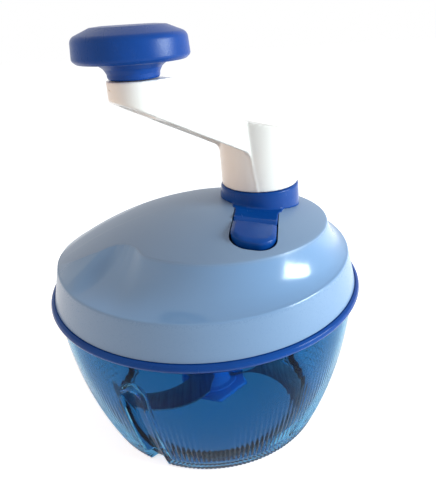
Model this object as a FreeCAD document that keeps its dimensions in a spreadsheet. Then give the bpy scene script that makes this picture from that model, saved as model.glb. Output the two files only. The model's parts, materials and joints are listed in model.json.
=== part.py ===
import FreeCAD, Part, Sketcher
import math
import os
from types import SimpleNamespace

# Crank food chopper: a clear bowl with a foot ring, a cover that holds the gear case, an offset crank
# with a turning knob, a release key in the cover, and a blade unit that stands on a pin in the bowl.
# Millimetres. Origin: centre of the foot on the table, +Z up. The crank axis is 33 mm from the bowl axis.

Vector = FreeCAD.Vector
doc = FreeCAD.newDocument("crank_food_chopper")
sheet = doc.addObject("Spreadsheet::Sheet", "Sizes")

driving = {
    # bowl
    "foot_radius": 65.2, "foot_lift": 0.4, "foot_edge": 6.2, "foot_step": 1.2, "foot_recess": 2.2,
    "rim_radius": 81.75, "rim_height": 79.6, "bowl_curve": 228.7, "bowl_wall": 2.2, "floor_top": 4.6,
    "boss_radius": 6.5, "boss_height": 4.4, "pin_radius": 2.5, "pin_sink": 1.4, "pin_length": 18.3,
    "grip_width": 4.8, "grip_height": 1.8, "fit_gap": 0.05,
    "flute_angle": 61.0, "flute_width": 11.5, "flute_drop": 17.6, "flute_depth": 4.5,
    # cover base with its bead
    "bead_reach": 2.55, "bead_curve": 3.2, "bead_height": 4.0, "seat_gap": 0.1, "plug_gap": 0.35,
    "plug_depth": 4.6, "plug_wall": 2.2, "base_floor": 2.4, "base_rib_height": 3.0, "base_rib_wall": 1.8,
    "base_rib_gap": 1.0, "screw_inset": 6.0, "screw_angle": 35.0, "screw_shank": 1.25,
    "screw_hole": 1.7, "screw_head": 3.0, "screw_head_height": 1.6, "screw_length": 11.0,
    "pillar_radius": 3.6,
    # cover shell
    "skirt_reach": 0.65, "skirt_taper": 4.15, "skirt_height": 16.8, "cover_wall": 2.2,
    "dome_x": 10.4, "dome_y": -8.9, "dome_radius": 165.1, "dome_rise": 26.4,
    "ridge_x": 10.3, "ridge_y": -5.0, "ridge_inset": 22.75, "terrace_hollow_ratio": 0.6, "terrace_fade": 0.6,
    "slant_ratio": 1.35, "terrace_left_angle": -168.0, "terrace_left_full_angle": -128.0,
    "terrace_back_full_angle": 35.0, "terrace_back_angle": 100.0,
    # gears and their axes
    "tooth_module": 1.0, "crank_teeth": 48.0, "pinion_teeth": 18.0, "crank_azimuth": 7.1, "backlash": 0.16,
    "bush_height": 5.8, "gear_width": 8.0, "gear_hub_radius": 12.0, "gear_flange_height": 3.0,
    "run_gap": 0.05, "thrust_gap": 0.3, "bush_wall": 3.0, "hex_flats": 10.0, "hex_gap": 0.05,
    "spindle_grip": 16.3, "boss_wall": 3.2, "web_depth": 2.5, "web_inset": 2.0, "gear_rim": 2.25,
    "pinion_step": 0.25, "pinion_bush_wall": 2.45, "driver_reach": 13.5, "clip_width": 1.1,
    "clip_depth": 0.6, "clip_reach": 2.0, "pinion_boss_drop": 2.0,
    # collar, neck and release key
    "collar_wall": 4.5, "collar_flare": 0.8, "collar_rise": 6.5, "collar_bore": 16.0, "spigot_wall": 2.4,
    "spigot_depth": 13.9, "tongue_azimuth": -101.3, "neck_half": 11.0, "neck_end": 36.2, "neck_rise": 0.3,
    "neck_depth": 2.4, "neck_gap": 0.35, "key_gap": 0.7, "pad_half": 11.0, "pad_length": 18.7,
    "pad_corner": 8.5, "pad_rise": 2.0, "pad_depth": 1.8, "slot_gap": 0.35, "slot_end_gap": 2.7,
    "key_pivot_reach": 5.6, "key_pivot_lift": 7.0, "key_half": 4.0, "key_pin_radius": 1.5, "key_root": 9.1,
    "key_slope": 0.84375, "ear_gap": 0.65, "ear_wall": 2.5, "ear_reach": 4.5,
    "hook_reach": 0.9, "hook_rise": 3.8, "hook_thickness": 2.8,
    "spring_thickness": 0.6, "spring_half": 2.5, "spring_drop": 6.0, "spring_gap": 0.43,
    "post_radius": 4.0, "post_offset": 2.6,
    # crank
    "crank_reach": 67.1, "crank_angle": 213.8, "hub_radius": 19.8, "hub_flare": 0.8, "hub_gap": 0.3,
    "crank_spigot_rise": 1.4, "catch_depth": 1.3, "catch_gap": 0.8, "hub_back_reach": 2.0,
    "arm_half_hub": 14.0, "arm_half_knob": 11.75, "arm_tip_flat": 0.1, "arm_slope": 0.506,
    "arm_thickness": 15.2, "arm_wall": 2.2, "arm_skin": 2.4,
    "face_slope": 0.226, "arm_lift": 11.75, "underside_fillet": 6.0,
    "post_rise": 4.35, "hub_back_rise": 20.3, "socket_gap": 2.0,
    # knob
    "knob_gap": 0.4, "neck_radius": 10.6, "neck_curve": 9.0, "neck_height": 6.6, "flare_reach": 5.4,
    "knob_radius": 24.0, "brim_depth": 1.4, "brim_edge": 1.6, "brim_side": 8.2, "brim_taper": 0.8,
    "crown_edge": 1.6, "crown_edge_inset": 2.0, "crown_inset": 8.2, "crown_height": 3.8,
    "spindle_radius": 4.0, "knob_roof": 5.0, "retainer_drop": 9.6, "retainer_width": 1.4,
    "retainer_reach": 2.8, "retainer_groove": 0.6, "retainer_gap": 0.1, "pocket_gap": 0.5,
    "spindle_tip": 1.4,
    # blade unit
    "flange_corner": 22.5, "floor_gap": 0.7, "flange_thickness": 3.0, "column_radius": 8.4,
    "column_gap": 0.5, "column_foot_flare": 3.6, "column_foot_height": 8.0, "carrier_bore_gap": 0.8,
    "blade_bush_wall": 2.0, "drive_square": 9.0, "drive_length": 16.5, "square_gap": 0.1,
    "blade_lift": 1.7, "blade_pitch": 14.0, "blade_sheet": 1.0, "blade_gap": 4.5, "blade_step": 3.3,
    "blade_sweep_angle": 54.0, "blade_angle": 10.0, "blade_spacing_angle": -120.0, "blade_root": 5.5,
    "blade_root_half": 6.0,
}


class Size:
    """A length or angle of the sheet, or a sum or product of some, as a number and as an expression."""

    def __init__(self, value, text):
        self.value = value
        self.text = text

    def __add__(self, other):
        return Size(self.value + number(other), f"({self.text} + {words(other)})")

    def __radd__(self, other):
        return Size(number(other) + self.value, f"({words(other)} + {self.text})")

    def __sub__(self, other):
        return Size(self.value - number(other), f"({self.text} - {words(other)})")

    def __rsub__(self, other):
        return Size(number(other) - self.value, f"({words(other)} - {self.text})")

    def __mul__(self, other):
        return Size(self.value * number(other), f"({self.text} * {words(other)})")

    def __rmul__(self, other):
        return Size(number(other) * self.value, f"({words(other)} * {self.text})")

    def __truediv__(self, other):
        return Size(self.value / number(other), f"({self.text} / {words(other)})")

    def __neg__(self):
        return Size(-self.value, f"(0 - {self.text})")


def number(size):
    return size.value if isinstance(size, Size) else float(size)


def words(size):
    return size.text if isinstance(size, Size) else repr(float(size))


def cosine(angle):
    return Size(math.cos(math.radians(number(angle))), f"cos({words(angle)})")


def sine(angle):
    return Size(math.sin(math.radians(number(angle))), f"sin({words(angle)})")


def square_root(size):
    return Size(math.sqrt(number(size)), f"sqrt({words(size)})")


s = SimpleNamespace()
for row, (alias, value) in enumerate(driving.items(), start=1):
    sheet.set(f"A{row}", alias.replace("_", " "))
    sheet.set(f"B{row}", str(value))
    sheet.setAlias(f"B{row}", alias)
    setattr(s, alias, Size(value, f"Sizes.{alias}"))
doc.recompute()


def bind(thing, name, size):
    setattr(thing, name, number(size))
    if isinstance(size, Size):
        thing.setExpression(name, size.text)


def place(thing, at, turn=0.0):
    thing.Placement = FreeCAD.Placement(
        Vector(*[number(value) for value in at]), FreeCAD.Rotation(Vector(0, 0, 1), number(turn)))
    for letter, value in zip("xyz", at):
        if isinstance(value, Size):
            thing.setExpression(f"Placement.Base.{letter}", value.text)
    if isinstance(turn, Size):
        thing.setExpression("Placement.Rotation.Angle", turn.text)
    return thing


def primitive(kind, name, sizes, at, turn=0.0):
    thing = doc.addObject(kind, name)
    for field, size in sizes.items():
        bind(thing, field, size)
    return place(thing, at, turn)


def cylinder(name, radius, bottom, top, axis=(0.0, 0.0)):
    return primitive("Part::Cylinder", name, {"Radius": radius, "Height": top - bottom}, (*axis, bottom))


def cone(name, low_radius, high_radius, bottom, top, axis=(0.0, 0.0)):
    sizes = {"Radius1": low_radius, "Radius2": high_radius, "Height": top - bottom}
    return primitive("Part::Cone", name, sizes, (*axis, bottom))


def hexagon(name, corner, bottom, top, axis=(0.0, 0.0), turn=0.0):
    sizes = {"Circumradius": corner, "Height": top - bottom}
    thing = primitive("Part::Prism", name, sizes, (*axis, bottom), turn)
    thing.Polygon = 6
    return thing


def sphere(name, radius, centre):
    return primitive("Part::Sphere", name, {"Radius": radius}, centre)


def fuse(name, *things):
    thing = doc.addObject("Part::MultiFuse", name)
    thing.Shapes = list(things)
    return thing


def common(name, base, tool):
    thing = doc.addObject("Part::Common", name)
    thing.Base = base
    thing.Tool = tool
    return thing


def cut(name, base, *tools):
    thing = doc.addObject("Part::Cut", name)
    thing.Base = base
    thing.Tool = tools[0] if len(tools) == 1 else fuse(f"{name}_tools", *tools)
    return thing


def tube(name, outer, inner, bottom, top, axis=(0.0, 0.0)):
    body = cylinder(f"{name}_outside", outer, bottom, top, axis)
    return cut(name, body, cylinder(f"{name}_inside", inner, bottom - 1, top + 1, axis))


def outline(body, name, role, corners):
    """A closed sketch of lines and arcs. A corner is (x, y), or (x, y, radius, turn) where an arc leaves it:
    turn is 1 for an anticlockwise arc and -1 for a clockwise one, and a radius of None is a half circle."""
    sketch = body.newObject("Sketcher::SketchObject", name)
    plane = next(item for item in body.Origin.OriginFeatures if item.Role == role)
    sketch.AttachmentSupport = [(plane, "")]
    sketch.MapMode = "FlatFace"
    places = [Vector(number(corner[0]), number(corner[1]), 0) for corner in corners]
    ends = []
    for index, corner in enumerate(corners):
        start = places[index]
        finish = places[(index + 1) % len(corners)]
        if len(corner) == 2:
            sketch.addGeometry(Part.LineSegment(start, finish), False)
            ends.append((1, 2))
            continue
        radius, turn = corner[2], corner[3]
        chord = finish - start
        half = chord.Length / 2
        side = Vector(chord.y, -chord.x, 0).normalize() * turn
        reach = half if radius is None else number(radius)
        bulge = reach - math.sqrt(max(reach ** 2 - half ** 2, 0))
        middle = (start + finish) * 0.5 + side * bulge
        pair = (start, finish) if turn == 1 else (finish, start)
        sketch.addGeometry(Part.Arc(pair[0], middle, pair[1]), False)
        ends.append((1, 2) if turn == 1 else (2, 1))

    def limit(kind, size, *places_held):
        held = sketch.addConstraint(Sketcher.Constraint(kind, *places_held, number(size)))
        if isinstance(size, Size):
            sketch.setExpression(f"Constraints[{held}]", size.text)

    for index, corner in enumerate(corners):
        after = (index + 1) % len(corners)
        sketch.addConstraint(Sketcher.Constraint("Coincident", index, ends[index][1], after, ends[after][0]))
        limit("DistanceX", corner[0], -1, 1, index, ends[index][0])
        limit("DistanceY", corner[1], -1, 1, index, ends[index][0])
        if len(corner) == 4 and corner[2] is None:
            level = abs(places[index].y - places[after].y) < 1e-6
            limit("DistanceY" if level else "DistanceX", corner[1 if level else 0], -1, 1, index, 3)
        elif len(corner) == 4:
            limit("Radius", corner[2], index)
    return sketch


def turned(name, corners, at=(0.0, 0.0, 0.0), turn=0.0):
    body = doc.addObject("PartDesign::Body", name)
    sketch = outline(body, f"{name}_section", "XZ_Plane", corners)
    feature = body.newObject("PartDesign::Revolution", f"{name}_turned")
    feature.Profile = sketch
    feature.ReferenceAxis = (sketch, ["V_Axis"])
    feature.Angle = 360
    return place(body, at, turn)


def pad(name, role, corners, length, at=(0.0, 0.0, 0.0), turn=0.0, both_ways=False):
    body = doc.addObject("PartDesign::Body", name)
    sketch = outline(body, f"{name}_section", role, corners)
    feature = body.newObject("PartDesign::Pad", f"{name}_pad")
    feature.Profile = sketch
    bind(feature, "Length", length)
    if both_ways:
        feature.SideType = "Symmetric"
    return place(body, at, turn)


# Sizes and places that follow from others, so that pieces that meet move together
s.grip_outer = s.foot_radius - s.foot_edge
s.grip_inner = s.grip_outer - s.grip_width
s.foot_inner = s.grip_inner - s.foot_step
s.boss_top = s.floor_top + s.boss_height
s.pin_seat = s.floor_top - s.pin_sink
s.pin_top = s.pin_seat + s.pin_length
s.flute_top = s.rim_height - s.flute_drop
s.bead_radius = s.rim_radius + s.bead_reach
s.skirt_foot_radius = s.rim_radius + s.skirt_reach
s.skirt_top_radius = s.skirt_foot_radius - s.skirt_taper
s.ridge_radius = s.skirt_top_radius - s.ridge_inset
plug_outer = s.rim_radius - s.bowl_wall - s.plug_gap
s.screw_circle = plug_outer - s.plug_wall - s.screw_inset
bead_bottom = s.rim_height + s.seat_gap
bead_top = bead_bottom + s.bead_height
base_floor_bottom = bead_bottom + s.bead_height / 5
base_floor_top = base_floor_bottom + s.base_floor
skirt_top = bead_top + s.skirt_height
s.dome_top = skirt_top + s.dome_rise
dome_centre = (s.dome_x, s.dome_y, s.dome_top - s.dome_radius)

centre_distance = s.tooth_module * (s.crank_teeth + s.pinion_teeth) / 2
crank_axis = (centre_distance * cosine(s.crank_azimuth), centre_distance * sine(s.crank_azimuth))
knob_axis = (crank_axis[0] + s.crank_reach * cosine(s.crank_angle),
             crank_axis[1] + s.crank_reach * sine(s.crank_angle))
bush_top = base_floor_top + s.bush_height
s.gear_bottom = bush_top + s.thrust_gap
gear_top = s.gear_bottom + s.gear_width
s.journal_radius = s.hex_flats / 2
s.pinion_shaft = s.tooth_module * (s.pinion_teeth / 2 - 1.25) + s.pinion_step
s.web_inner = s.gear_hub_radius + s.web_inset
s.web_outer = s.tooth_module * (s.crank_teeth / 2 - 1.25) - s.gear_rim
s.driver_bottom = base_floor_bottom - s.driver_reach

s.collar_radius = s.collar_bore + s.collar_wall
s.collar_top = s.dome_top + s.collar_rise
s.spigot_bottom = s.dome_top - s.spigot_depth
s.pad_start = s.neck_end + s.key_gap
s.pad_end = s.pad_start + s.pad_length
s.key_pivot = s.collar_bore + s.spigot_wall + s.key_pivot_reach
s.key_pivot_height = gear_top + s.key_pivot_lift
s.ear_start = s.pad_half + s.slot_gap + s.ear_gap
s.hook_tip = s.collar_bore - s.hook_reach
s.hook_height = s.spigot_bottom + s.hook_rise
s.post_reach = s.pad_start + s.post_offset
s.spring_post = s.key_pivot_height - s.spring_drop

hub_bottom = s.collar_top + s.hub_gap
s.crank_spigot_bottom = s.spigot_bottom + s.crank_spigot_rise
s.catch_bottom = s.hook_height - s.catch_gap
s.catch_height = s.hook_thickness + s.catch_gap * 2
s.spindle_top = hub_bottom + s.spindle_grip
s.socket_top = s.spindle_top + s.socket_gap
s.underside_start = hub_bottom + s.arm_lift
s.hub_back_height = hub_bottom + s.hub_back_rise
s.face_reach = square_root(s.hub_radius * s.hub_radius - s.arm_half_hub * s.arm_half_hub)
boss_back = s.crank_reach - s.arm_half_knob
s.post_top = s.underside_start + s.arm_thickness + s.arm_slope * boss_back + s.post_rise
s.knob_under = s.post_top + s.knob_gap + s.neck_height
s.brim_height = s.knob_under + s.brim_depth
s.knob_edge = s.brim_height + s.brim_side
s.knob_top = s.knob_edge + s.crown_height
s.knob_flare = s.neck_radius + s.flare_reach
s.knob_upper = s.knob_radius - s.brim_taper
s.knob_crown = s.knob_upper - s.crown_inset
s.spindle_depth = s.knob_top - s.knob_roof
s.retainer_height = s.post_top - s.retainer_drop
s.retainer_radius = s.spindle_radius + s.retainer_reach
s.pocket_radius = s.retainer_radius + s.pocket_gap

s.flange_bottom = s.floor_top + s.floor_gap
flange_top = s.flange_bottom + s.flange_thickness
s.column_top = s.driver_bottom - s.column_gap
s.column_foot_radius = s.column_radius + s.column_foot_flare
s.blade_first = flange_top + s.blade_lift
s.blade_reach = s.foot_radius - s.bowl_wall - s.blade_gap
nodes = []


def keep(thing, label):
    thing.Label = label
    nodes.append(thing)
    return thing


def on_tongue(reach, side):
    """The place that lies reach outwards from the crank axis along the tongue, and side across it."""
    along = (cosine(s.tongue_azimuth), sine(s.tongue_azimuth))
    return (crank_axis[0] + reach * along[0] - side * along[1],
            crank_axis[1] + reach * along[1] + side * along[0])


# Bowl: a flared wall on a foot ring, with a long upright flute on either side that makes a rib inside

def bowl_form(name, inset, bottom, top):
    return turned(name, [
        (0.0, bottom),
        (s.foot_radius - inset, bottom, s.bowl_curve - inset, 1),
        (s.rim_radius - inset, top),
        (0.0, top),
    ])


def flute_slot(name, width, top):
    half = width / 2
    return pad(name, "YZ_Plane", [
        (-half, -1.0),
        (half, -1.0),
        (half, top - half, None, 1),
        (-half, top - half),
    ], s.rim_radius * 2.4, turn=s.flute_angle, both_ways=True)


def make_bowl():
    outside = bowl_form("bowl_outside", 0.0, s.foot_lift, s.rim_height)
    flute = cut("bowl_flute", flute_slot("flute_slot", s.flute_width, s.flute_top),
                bowl_form("flute_core", s.flute_depth, -2.0, s.rim_height + 1))
    rib = cut("bowl_rib", flute_slot("rib_slot", s.flute_width + s.bowl_wall * 2, s.flute_top + s.bowl_wall),
              bowl_form("rib_core", s.flute_depth + s.bowl_wall, s.floor_top - 1, s.rim_height + 2))
    cavity = cut("bowl_cavity", bowl_form("cavity_form", s.bowl_wall, s.floor_top, s.rim_height + 1), rib)
    shell = cut("bowl_shell", outside, flute, cavity,
                cylinder("foot_hollow", s.foot_inner, s.foot_lift - 1, s.foot_recess),
                tube("grip_groove", s.grip_outer, s.grip_inner, s.foot_lift - 1, s.grip_height))
    boss = cylinder("pin_boss", s.boss_radius, s.floor_top - 1, s.boss_top)
    seat = cylinder("pin_hole", s.pin_radius, s.pin_seat, s.boss_top + 1)
    keep(cut("bowl_whole", fuse("bowl_with_boss", shell, boss), seat), "bowl")
    keep(tube("grip", s.grip_outer - s.fit_gap, s.grip_inner + s.fit_gap, Size(0.0, "0"), s.grip_height),
         "base_grip_ring")
    keep(turned("pin", [
        (0.0, s.pin_seat),
        (s.pin_radius, s.pin_seat),
        (s.pin_radius, s.pin_top - s.pin_radius / 2),
        (s.pin_radius / 2, s.pin_top),
        (0.0, s.pin_top),
    ]), "bowl_pivot_pin")


# Cover base: the floor of the gear case, the plug that enters the bowl, and the bright bead round it

def make_cover_base():
    boss_inner = s.pinion_shaft + s.run_gap + s.pinion_bush_wall
    plug_bottom = bead_bottom - s.plug_depth
    rib_outer = s.skirt_foot_radius - s.cover_wall - s.base_rib_gap
    body = turned("base_body", [
        (boss_inner, base_floor_bottom - s.pinion_boss_drop),
        (boss_inner + s.boss_wall, base_floor_bottom - s.pinion_boss_drop),
        (boss_inner + s.boss_wall, base_floor_bottom),
        (plug_outer - s.plug_wall, base_floor_bottom),
        (plug_outer - s.plug_wall, plug_bottom),
        (plug_outer - 0.5, plug_bottom),
        (plug_outer, bead_bottom),
        (s.bead_radius, bead_bottom, s.bead_curve, 1),
        (s.bead_radius, bead_top),
        (rib_outer, bead_top),
        (rib_outer, bead_top + s.base_rib_height),
        (rib_outer - s.base_rib_wall, bead_top + s.base_rib_height),
        (rib_outer - s.base_rib_wall, base_floor_top),
        (boss_inner + s.boss_wall, base_floor_top),
        (boss_inner + s.boss_wall, bush_top),
        (boss_inner, bush_top),
    ])
    seat_radius = s.journal_radius + s.run_gap + s.bush_wall
    boss = cylinder("spindle_boss", seat_radius + s.boss_wall, base_floor_bottom + 0.5, bush_top, crank_axis)
    post = cylinder("spring_post", s.post_radius, base_floor_bottom + 0.5, s.spring_post,
                    on_tongue(s.post_reach, 0.0))
    holes = [cylinder(f"base_screw_hole_{turn}", s.screw_hole, base_floor_bottom - 1, base_floor_top + 1, at)
             for turn, at in screw_places()]
    seat = cylinder("spindle_seat", seat_radius, base_floor_top - 0.4, bush_top + 1, crank_axis)
    room = cylinder("pinion_room", boss_inner, base_floor_bottom, bush_top + 1)
    keep(cut("base_whole", fuse("base_solid", body, boss, post), seat, room, *holes), "cover_base")
    keep(tube("spindle_bush_ring", seat_radius, s.journal_radius + s.run_gap, base_floor_top - 0.4, bush_top,
              crank_axis), "spindle_bush")
    keep(tube("pinion_bush_ring", boss_inner, s.pinion_shaft + s.run_gap,
              base_floor_bottom - s.pinion_boss_drop, bush_top), "pinion_bush")


def screw_places():
    for quarter in range(4):
        turn = s.screw_angle + 90.0 * quarter
        yield quarter, (s.screw_circle * cosine(turn), s.screw_circle * sine(turn))


def make_cover_screws():
    screws = []
    for turn, at in screw_places():
        head = cylinder(f"screw_head_{turn}", s.screw_head, base_floor_bottom - s.screw_head_height,
                        base_floor_bottom, at)
        shank = cylinder(f"screw_shank_{turn}", s.screw_shank, base_floor_bottom - 0.5,
                         base_floor_bottom + s.screw_length, at)
        slot = cylinder(f"screw_recess_{turn}", s.screw_shank, base_floor_bottom - s.screw_head_height - 0.5,
                        base_floor_bottom - s.screw_head_height / 2, at)
        screws.append(cut(f"screw_{turn}", fuse(f"screw_solid_{turn}", head, shank), slot))
    group = doc.addObject("Part::Compound", "screw_group")
    group.Links = screws
    keep(group, "cover_screws")


# Cover shell: a domed top that runs out to the skirt at the left, with a round ridge at the front and
# right, and a hollow terrace that falls from the ridge to the skirt

def blend(low, high, value):
    share = min(max((value - low) / (high - low), 0.0), 1.0)
    return share * share * (3 - 2 * share)


def dome_height(radius, angle, inset):
    x = radius * math.cos(math.radians(angle)) - s.dome_x.value
    y = radius * math.sin(math.radians(angle)) - s.dome_y.value
    return number(dome_centre[2]) + math.sqrt((s.dome_radius.value - inset) ** 2 - x ** 2 - y ** 2)


def terrace_height(radius, angle, inset):
    """Height of the terrace at one place about the bowl axis. It fades into the dome at both ends."""
    inner = ridge_distance(angle)
    ridge = dome_height(inner, angle, 0.0)
    share = (s.skirt_top_radius.value - radius) / (s.skirt_top_radius.value - inner)
    hollow = s.terrace_hollow_ratio.value
    rise = (1 - hollow) * share + hollow * max(share, 0.0) ** 3
    terrace = number(skirt_top) + (ridge - number(skirt_top)) * rise - inset * s.slant_ratio.value
    window = blend(s.terrace_left_angle.value, s.terrace_left_full_angle.value, angle)
    window *= 1 - blend(s.terrace_back_full_angle.value, s.terrace_back_angle.value, angle)
    dome = dome_height(radius, angle, inset)
    return dome - window * (dome - terrace) + s.terrace_fade.value * (1 - window)


def ridge_distance(angle):
    """Distance of the ridge circle from the bowl axis along one direction."""
    east, north = math.cos(math.radians(angle)), math.sin(math.radians(angle))
    along = s.ridge_x.value * east + s.ridge_y.value * north
    across = s.ridge_x.value * north - s.ridge_y.value * east
    return along + math.sqrt(s.ridge_radius.value ** 2 - across ** 2)


def terrace_tool(name, inset):
    """All that stands above the terrace surface, as one solid."""
    first = s.terrace_left_angle.value - 4
    last = s.terrace_back_angle.value + 6
    columns = 72
    rows = 12
    places = []
    for column in range(columns + 1):
        angle = first + (last - first) * column / columns
        inner = ridge_distance(angle) - 3
        outer = s.skirt_foot_radius.value + 3
        line = []
        for row in range(rows + 1):
            radius = inner + (outer - inner) * row / rows
            x = radius * math.cos(math.radians(angle))
            y = radius * math.sin(math.radians(angle))
            line.append(Vector(x, y, terrace_height(radius, angle, inset)))
        places.append(line)
    surface = Part.BSplineSurface()
    surface.interpolate(places)
    thing = doc.addObject("Part::Feature", name)
    thing.Shape = surface.toShape().extrude(Vector(0, 0, s.collar_top.value))
    return thing


def cover_form(name, inset, bottom):
    slope = (s.skirt_foot_radius - s.skirt_top_radius) / s.skirt_height
    top = s.dome_top + 4
    skirt = cone(f"{name}_skirt", s.skirt_foot_radius - inset + slope * (bead_top - bottom),
                 s.skirt_foot_radius - inset - slope * (top - bead_top), bottom, top)
    dome = sphere(f"{name}_dome", s.dome_radius - inset, dome_centre)
    form = common(f"{name}_cap", skirt, dome)
    return cut(name, form, terrace_tool(f"{name}_terrace", number(inset)))


def tongue_outline(name, half, start, end, corner, bottom, top):
    return pad(name, "XY_Plane", [
        (start, -half),
        (end - corner, -half, corner, 1),
        (end, corner - half),
        (end, half - corner, corner, 1),
        (end - corner, half),
        (start, half),
    ], top - bottom, (*crank_axis, bottom), s.tongue_azimuth)


def make_cover_shell():
    solid = cover_form("cover_outer", Size(0.0, "0"), bead_top)
    hollow = cover_form("cover_inner", s.cover_wall, bead_top - 2)
    pillars = fuse("pillars", *[cylinder(f"pillar_{turn}", s.pillar_radius, base_floor_top, s.dome_top, at)
                                for turn, at in screw_places()])
    ears = []
    for side in (-1, 1):
        low = side * (s.ear_start + s.ear_wall / 2) - s.ear_wall / 2
        corner = on_tongue(s.key_pivot - s.ear_reach, low)
        sizes = {"Length": s.ear_reach * 2, "Width": s.ear_wall,
                 "Height": s.dome_top - s.key_pivot_height + 4}
        ears.append(primitive("Part::Box", f"ear_{side + 1}", sizes,
                              (*corner, s.key_pivot_height - 4), s.tongue_azimuth))
    half_wall = s.cover_wall / 2
    pillars = common("pillars_inside", pillars, cover_form("pillar_limit", half_wall, base_floor_top - 1))
    ears = common("ears_inside", fuse("ears", *ears), cover_form("ear_limit", half_wall, base_floor_top - 1))
    shell = fuse("shell_solid", cut("shell_skin", solid, hollow), pillars, ears)
    collar_hole = cylinder("collar_hole", s.collar_bore + s.spigot_wall + s.run_gap, s.spigot_bottom - 4,
                           s.collar_top, crank_axis)
    neck_slot = tongue_outline("neck_slot", s.neck_half + s.neck_gap, s.collar_bore,
                               s.pad_start + s.slot_gap, s.slot_gap / 2, s.spigot_bottom, s.collar_top)
    pad_slot = tongue_outline("pad_slot", s.pad_half + s.slot_gap, s.pad_start - s.slot_gap,
                              s.pad_end + s.slot_end_gap, s.pad_corner + s.slot_gap, s.spigot_bottom,
                              s.collar_top)
    pilot_top = base_floor_bottom + s.screw_length + 1
    pilots = [cylinder(f"pilot_{turn}", s.screw_shank, base_floor_top - 1, pilot_top, at)
              for turn, at in screw_places()]
    ear_bore = key_pin("ear_bore", s.key_pin_radius, s.ear_start + 4)
    keep(cut("shell_whole", shell, collar_hole, neck_slot, pad_slot, ear_bore, *pilots), "cover_shell")


def key_pin(name, radius, half):
    """A round bar across the tongue at the key's pivot."""
    corners = [(0.0, -half), (radius, -half), (radius, half), (0.0, half)]
    body = turned(name, corners)
    body.Placement = FreeCAD.Placement(
        Vector(*[number(value) for value in (*on_tongue(s.key_pivot, 0.0), s.key_pivot_height)]),
        FreeCAD.Rotation(Vector(number(cosine(s.tongue_azimuth)), number(sine(s.tongue_azimuth)), 0), 90))
    for letter, value in zip("xyz", (*on_tongue(s.key_pivot, 0.0), s.key_pivot_height)):
        body.setExpression(f"Placement.Base.{letter}", value.text)
    body.setExpression("Placement.Rotation.Axis.x", cosine(s.tongue_azimuth).text)
    body.setExpression("Placement.Rotation.Axis.y", sine(s.tongue_azimuth).text)
    return body


# Collar with its neck, and the release key that closes the end of the slot

def make_collar():
    spigot_radius = s.collar_bore + s.spigot_wall
    ring = cut("collar_ring", cone("collar_cone", s.collar_radius + s.collar_flare, s.collar_radius,
                                   s.dome_top - 9, s.collar_top, crank_axis),
               sphere("collar_foot", s.dome_radius, dome_centre))
    spigot = cylinder("collar_spigot", spigot_radius, s.spigot_bottom, s.dome_top + 1, crank_axis)
    neck = tongue_outline("neck_plan", s.neck_half, s.collar_bore, s.neck_end, s.neck_half / 10,
                          s.spigot_bottom, s.collar_top)
    neck = common("neck_top", neck, sphere("neck_skin", s.dome_radius + s.neck_rise, dome_centre))
    neck = cut("neck", neck, sphere("neck_under", s.dome_radius - s.neck_depth, dome_centre))
    bore = cylinder("collar_bore_hole", s.collar_bore, s.spigot_bottom - 1, s.collar_top + 1, crank_axis)
    sizes = {"Length": s.spigot_wall * 4, "Width": s.key_half * 2 + 2, "Height": s.hook_thickness * 2.4}
    corner = on_tongue(s.collar_bore - s.spigot_wall, -s.key_half - 1)
    window = primitive("Part::Box", "hook_window", sizes, (*corner, s.hook_height - s.hook_thickness / 2),
                       s.tongue_azimuth)
    keep(cut("collar_whole", fuse("collar_solid", ring, spigot, neck), bore, window), "crank_collar")


def key_underside(reach):
    """Height of the key lever's slanting underside, reach outwards from the crank axis."""
    return s.key_pivot_height - 1 + s.key_slope * (reach - s.key_pivot - 6)


def make_release_key():
    plan = tongue_outline("pad_plan", s.pad_half, s.pad_start, s.pad_end, s.pad_corner, s.spigot_bottom - 4,
                          s.collar_top)
    plate = common("pad_top", plan, sphere("pad_skin", s.dome_radius + s.pad_rise, dome_centre))
    plate = cut("pad_plate", plate, sphere("pad_under", s.dome_radius - s.pad_depth, dome_centre))
    pivot = s.key_pivot_height
    hook_top = s.hook_height + s.hook_thickness
    root = s.pad_start + s.key_root
    lever = pad("key_lever", "XZ_Plane", [
        (root, s.dome_top - 4.1),
        (root - 8, s.dome_top - 2.9),
        (root - 8, pivot + 16),
        (s.key_pivot + 4, pivot + 6),
        (s.key_pivot - 0.5, pivot + 8),
        (s.key_pivot - 2.5, hook_top),
        (s.hook_tip, hook_top),
        (s.hook_tip, s.hook_height),
        (s.key_pivot - 5.1, s.hook_height - 0.2),
        (s.key_pivot - 5.1, pivot + 8),
        (s.key_pivot - 3.6, pivot),
        (s.key_pivot - 2.5, pivot - 3.4),
        (s.key_pivot + 3.5, pivot - 3.4),
        (s.key_pivot + 6, pivot - 1),
        (root, key_underside(root)),
    ], s.key_half * 2, (*crank_axis, 0.0), s.tongue_azimuth, both_ways=True)
    keep(cut("key_whole", fuse("key_solid", plate, lever),
             key_pin("key_bore", s.key_pin_radius + s.run_gap, s.key_half + 2)), "release_key")
    keep(key_pin("key_pin", s.key_pin_radius, s.ear_start + s.ear_wall), "key_pivot_pin")
    thick = s.spring_thickness
    bottom = s.spring_post
    tip = key_underside(s.post_reach - 2) - s.spring_gap
    keep(pad("leaf_spring", "XZ_Plane", [
        (s.post_reach - 3.5, bottom),
        (s.post_reach + 5, bottom),
        (s.post_reach + 5, bottom + thick),
        (s.post_reach - 2, tip),
        (s.post_reach - 2 - thick, tip - 0.4),
        (s.post_reach + 4, bottom + thick),
        (s.post_reach - 3.5, bottom + thick),
    ], s.spring_half * 2, (*crank_axis, 0.0), s.tongue_azimuth, both_ways=True), "key_spring")


# Gears: true involute teeth, in mesh at rest

def involute(angle):
    return math.tan(angle) - angle


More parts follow.
